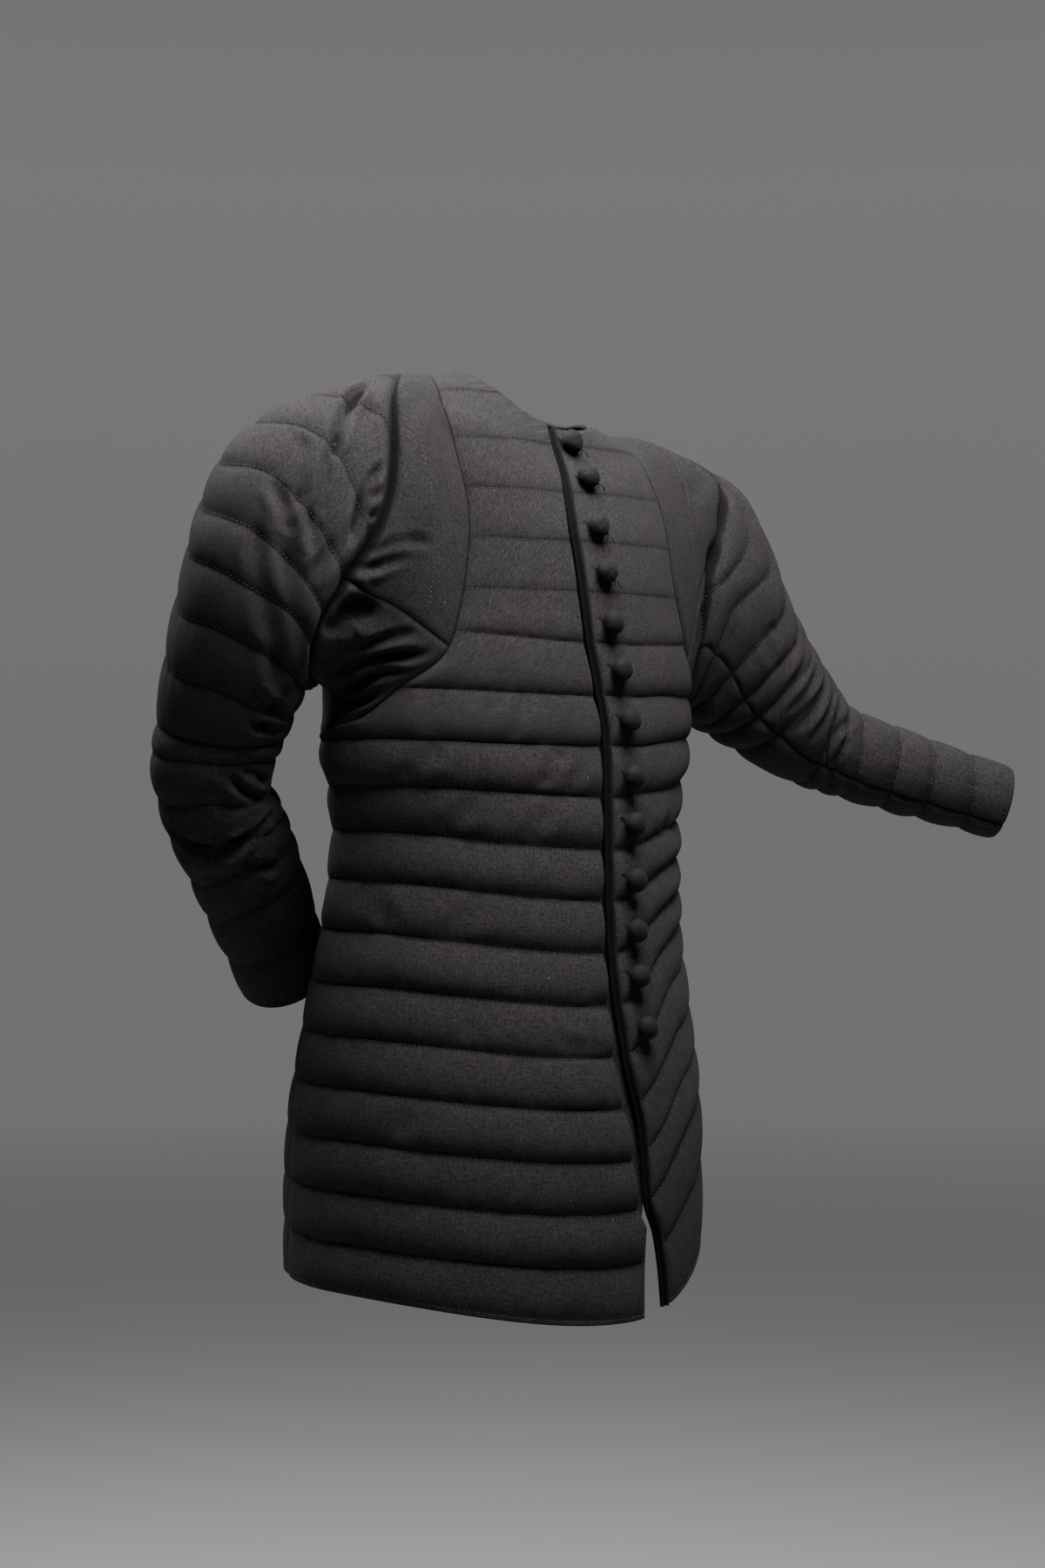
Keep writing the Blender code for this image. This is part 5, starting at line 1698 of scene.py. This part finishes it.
def cloth_grain(n, cloth):
    """Fuzz with slubs along both threads."""
    fuzz = n.noise(cloth, FUZZ_SCALE, 2.0, 0.6)
    slubs = [n.noise(n.scaled(cloth, stretch), 1.0, 1.0) for stretch in SLUB_STRETCHES]
    slubs = n.math("MULTIPLY", n.math("ADD", *slubs), 0.5)
    return n.math("ADD", n.math("MULTIPLY", fuzz, 0.5), slubs)


def wear_and_painted_shade(n):
    """How light the cloth is: lighter on the rubbed crests, with painted shade along the quilting
    lines, beside seams and in deep folds.
    """
    relief = n.new("Attribute")
    relief.attribute_name = "relief"
    relief = relief.outputs["Fac"]
    # Rubbed crests lighter, and painted shade along the quilting lines and beside seams, where the
    # relief falls toward 0.
    tone_with_painted_shade = n.math("MULTIPLY", n.spread(relief, 0.0, 1.0, 0.86, 1.10),
                  n.spread(relief, 0.0, 0.30, 0.40, 1.0))
    # Painted shade in deep folds, tucks and the dark strip of the edge binding, where the relief is
    # below 0.
    tone_with_painted_shade = n.math("MULTIPLY", tone_with_painted_shade, n.spread(relief, -0.40, 0.0, 0.35, 1.0))
    patch = n.spread(n.noise(n.place, PATCH_SCALE, 2.0), 0.3, 0.7, 0.93, 1.07)
    return n.math("MULTIPLY", tone_with_painted_shade, patch)


def with_lint(n, cloth, tone):
    """A few pale specks of lint over a tone."""
    dots = n.new("TexVoronoi")
    n.put(dots.inputs["Vector"], cloth)
    dots.inputs["Scale"].default_value = LINT_SCALE
    spot = n.math("LESS_THAN", dots.outputs["Distance"], LINT_SIZE)
    pick = n.new("SeparateColor")
    n.put(pick.inputs[0], dots.outputs["Color"])
    spot = n.math("MULTIPLY", spot, n.math("GREATER_THAN", pick.outputs[0], LINT_MISSING))
    return n.mix(n.math("MULTIPLY", spot, 0.75), tone, LINT)


def cloth_material(name, colour, thread=CLOTH_THREAD, lint=True):
    """Matte woven cloth: crossing threads, slubs, soft mottling, rubbed crests, painted shade along
    the quilting lines, beside seams and in deep folds, and a little lint.
    """
    n = Nodes(name)
    uv = n.new("UVMap")
    uv.uv_map = "cloth"
    cloth = uv.outputs[0]
    grain = cloth_grain(n, cloth)
    coarse = n.noise(cloth, COARSE_SCALE, 2.0, 0.7)
    speckle = n.math("ADD", n.math("MULTIPLY", grain, 0.5), n.math("MULTIPLY", coarse, 0.6))
    tone = n.mix(n.spread(speckle, 0.46, 0.84), *(times(colour, share) for share in CLOTH_TONES))
    blotch = n.spread(n.noise(n.place, BLOTCH_SCALE, 3.0, 0.55), 0.36, 0.64)
    tone = n.mix(blotch, tone, n.mix(1.0, tone, BLOTCH, "MULTIPLY"))
    # Painted shade on the lines, seams and folds, with the rubbed crests, multiplied into the tone.
    tone = n.mix(1.0, tone, n.grey(wear_and_painted_shade(n)), "MULTIPLY")
    if lint:
        tone = with_lint(n, cloth, tone)
    n.surface(tone, n.spread(grain, 0.45, 1.1, 0.98, 0.84),
              {"Specular IOR Level": 0.06, "Sheen Weight": SHEEN, "Sheen Roughness": 0.55,
               "Sheen Tint": (0.80, 0.78, 0.80, 1.0)})
    height = n.math("ADD", n.math("MULTIPLY", woven(n, cloth, thread), 0.30),
                    n.math("MULTIPLY", grain, 1.0))
    n.bump(height, *CLOTH_BUMP)
    return n.material


def thread_material(name, colour, fibres):
    """Twisted thread or gathered cloth with fine fibres, for pieces with no cloth layer."""
    n = Nodes(name)
    fibre = n.noise(n.place, fibres, 3.0, 0.65)
    broad = n.math("MULTIPLY", n.noise(n.place, 60.0, 2.0), 0.4)
    shade = n.spread(n.math("ADD", fibre, broad), 0.5, 0.95)
    n.surface(n.mix(shade, *(times(colour, share) for share in THREAD_TONES)),
              n.spread(fibre, 0.3, 0.7, 0.85, 0.65),
              {"Specular IOR Level": 0.08, "Sheen Weight": SHEEN})
    n.bump(fibre, *THREAD_BUMP)
    return n.material


def floor_material():
    """Pale floor that fades away into the wall."""
    n = Nodes("pale_floor")
    cloud = n.spread(n.noise(n.place, 1.3, 3.0), 0.3, 0.7)
    n.surface(n.mix(cloud, times(FLOOR, 0.985), FLOOR), 0.85, {"Specular IOR Level": 0.1})
    away = n.new("VectorMath")
    away.operation = "LENGTH"
    n.put(away.inputs[0], n.place)
    both = n.new("MixShader")
    n.put(both.inputs[0], n.spread(away.outputs["Value"], FLOOR_NEAR, FLOOR_FAR))
    n.put(both.inputs[1], n.shader.outputs[0])
    n.put(both.inputs[2], n.new("BsdfTransparent").outputs[0])
    n.put(n.tree.nodes["Material Output"].inputs["Surface"], both.outputs[0])
    return n.material


# ---- floor, light and camera -------------------------------------------------------------------
def make_floor():
    rings, sides = 24, 96
    verts = [(0.0, 0.0, FLOOR_LEVEL)]
    for r in range(1, rings + 1):
        radius = FLOOR_RADIUS * (r / rings) ** 1.4
        verts += [(radius * math.cos(a), radius * math.sin(a), FLOOR_LEVEL) for a in circle(sides)]
    faces = band(1, rings, sides, flip=True)
    faces += [(0, 1 + s, 1 + (s + 1) % sides) for s in range(sides)]
    add_object("floor", verts, faces, floor_material())


def soft_light(name, azimuth, elevation, distance, size, power, colour):
    """Square soft light aimed at the middle of the garment, placed as a camera would be."""
    lamp = bpy.data.lights.new(name, "AREA")
    lamp.shape = "SQUARE"
    lamp.size = size
    lamp.energy = power
    lamp.color = colour
    a, e = math.radians(azimuth), math.radians(elevation)
    back = Vector((math.sin(a) * math.cos(e), -math.cos(a) * math.cos(e), math.sin(e)))
    made = bpy.data.objects.new(name, lamp)
    made.location = Vector(LIGHT_AIM) + back * distance
    made.rotation_euler = (-back).to_track_quat("-Z", "Y").to_euler()
    bpy.context.scene.collection.objects.link(made)


def make_wall():
    """Studio wall round the whole scene, darker overhead."""
    world = bpy.data.worlds.new("studio")
    bpy.context.scene.world = world
    world.use_nodes = True
    nodes, links = world.node_tree.nodes, world.node_tree.links
    place = nodes.new("ShaderNodeTexCoord")
    level = nodes.new("ShaderNodeSeparateXYZ")
    tones = nodes.new("ShaderNodeValToRGB")
    ramp = tones.color_ramp.elements
    ramp.new(WALL_TONES[1][0])
    for stop, (height, colour) in zip(ramp, WALL_TONES):
        stop.position = height
        stop.color = (*colour, 1.0)
    links.new(place.outputs["Generated"], level.inputs[0])
    links.new(level.outputs[2], tones.inputs[0])
    links.new(tones.outputs[0], nodes["Background"].inputs["Color"])


def make_camera():
    camera = bpy.data.cameras.new("view")
    camera.lens = LENS
    camera.clip_end = 100.0
    made = bpy.data.objects.new("view", camera)
    a = math.radians(VIEW_TURN)
    made.location = (-VIEW_DISTANCE * math.sin(a) + VIEW_ASIDE * math.cos(a),
                     -VIEW_DISTANCE * math.cos(a) - VIEW_ASIDE * math.sin(a), VIEW_LEVEL)
    made.rotation_euler = (math.radians(90.0), 0.0, -a)
    bpy.context.scene.collection.objects.link(made)
    bpy.context.scene.camera = made


def main():
    cloth = cloth_material("quilted_canvas", DARK_CLOTH)
    plain = cloth_material("gusset_canvas", PLAIN_CLOTH)
    cord = cloth_material("edge_cord", CORD_CLOTH, thread=CORD_THREAD, lint=False)
    cover = thread_material("button_cloth_cover", BUTTON_CLOTH, BUTTON_FIBRES)
    slit = thread_material("buttonhole_thread", SLIT, SLIT_FIBRES)
    thread = thread_material("quilting_thread", THREAD, THREAD_FIBRES)
    make_front(-1, cloth)
    make_front(1, cloth)
    make_back(cloth)
    make_binding(cord)
    for side in WORDS:
        make_gussets(side, plain)
        make_sleeve(side, cloth)
    make_front_buttons(cover, slit)
    for side in WORDS:
        make_cuff_buttons(side, cover)
    make_all_stitches(thread)
    make_floor()
    for light in LIGHTS:
        soft_light(*light)
    make_wall()
    make_camera()


main()
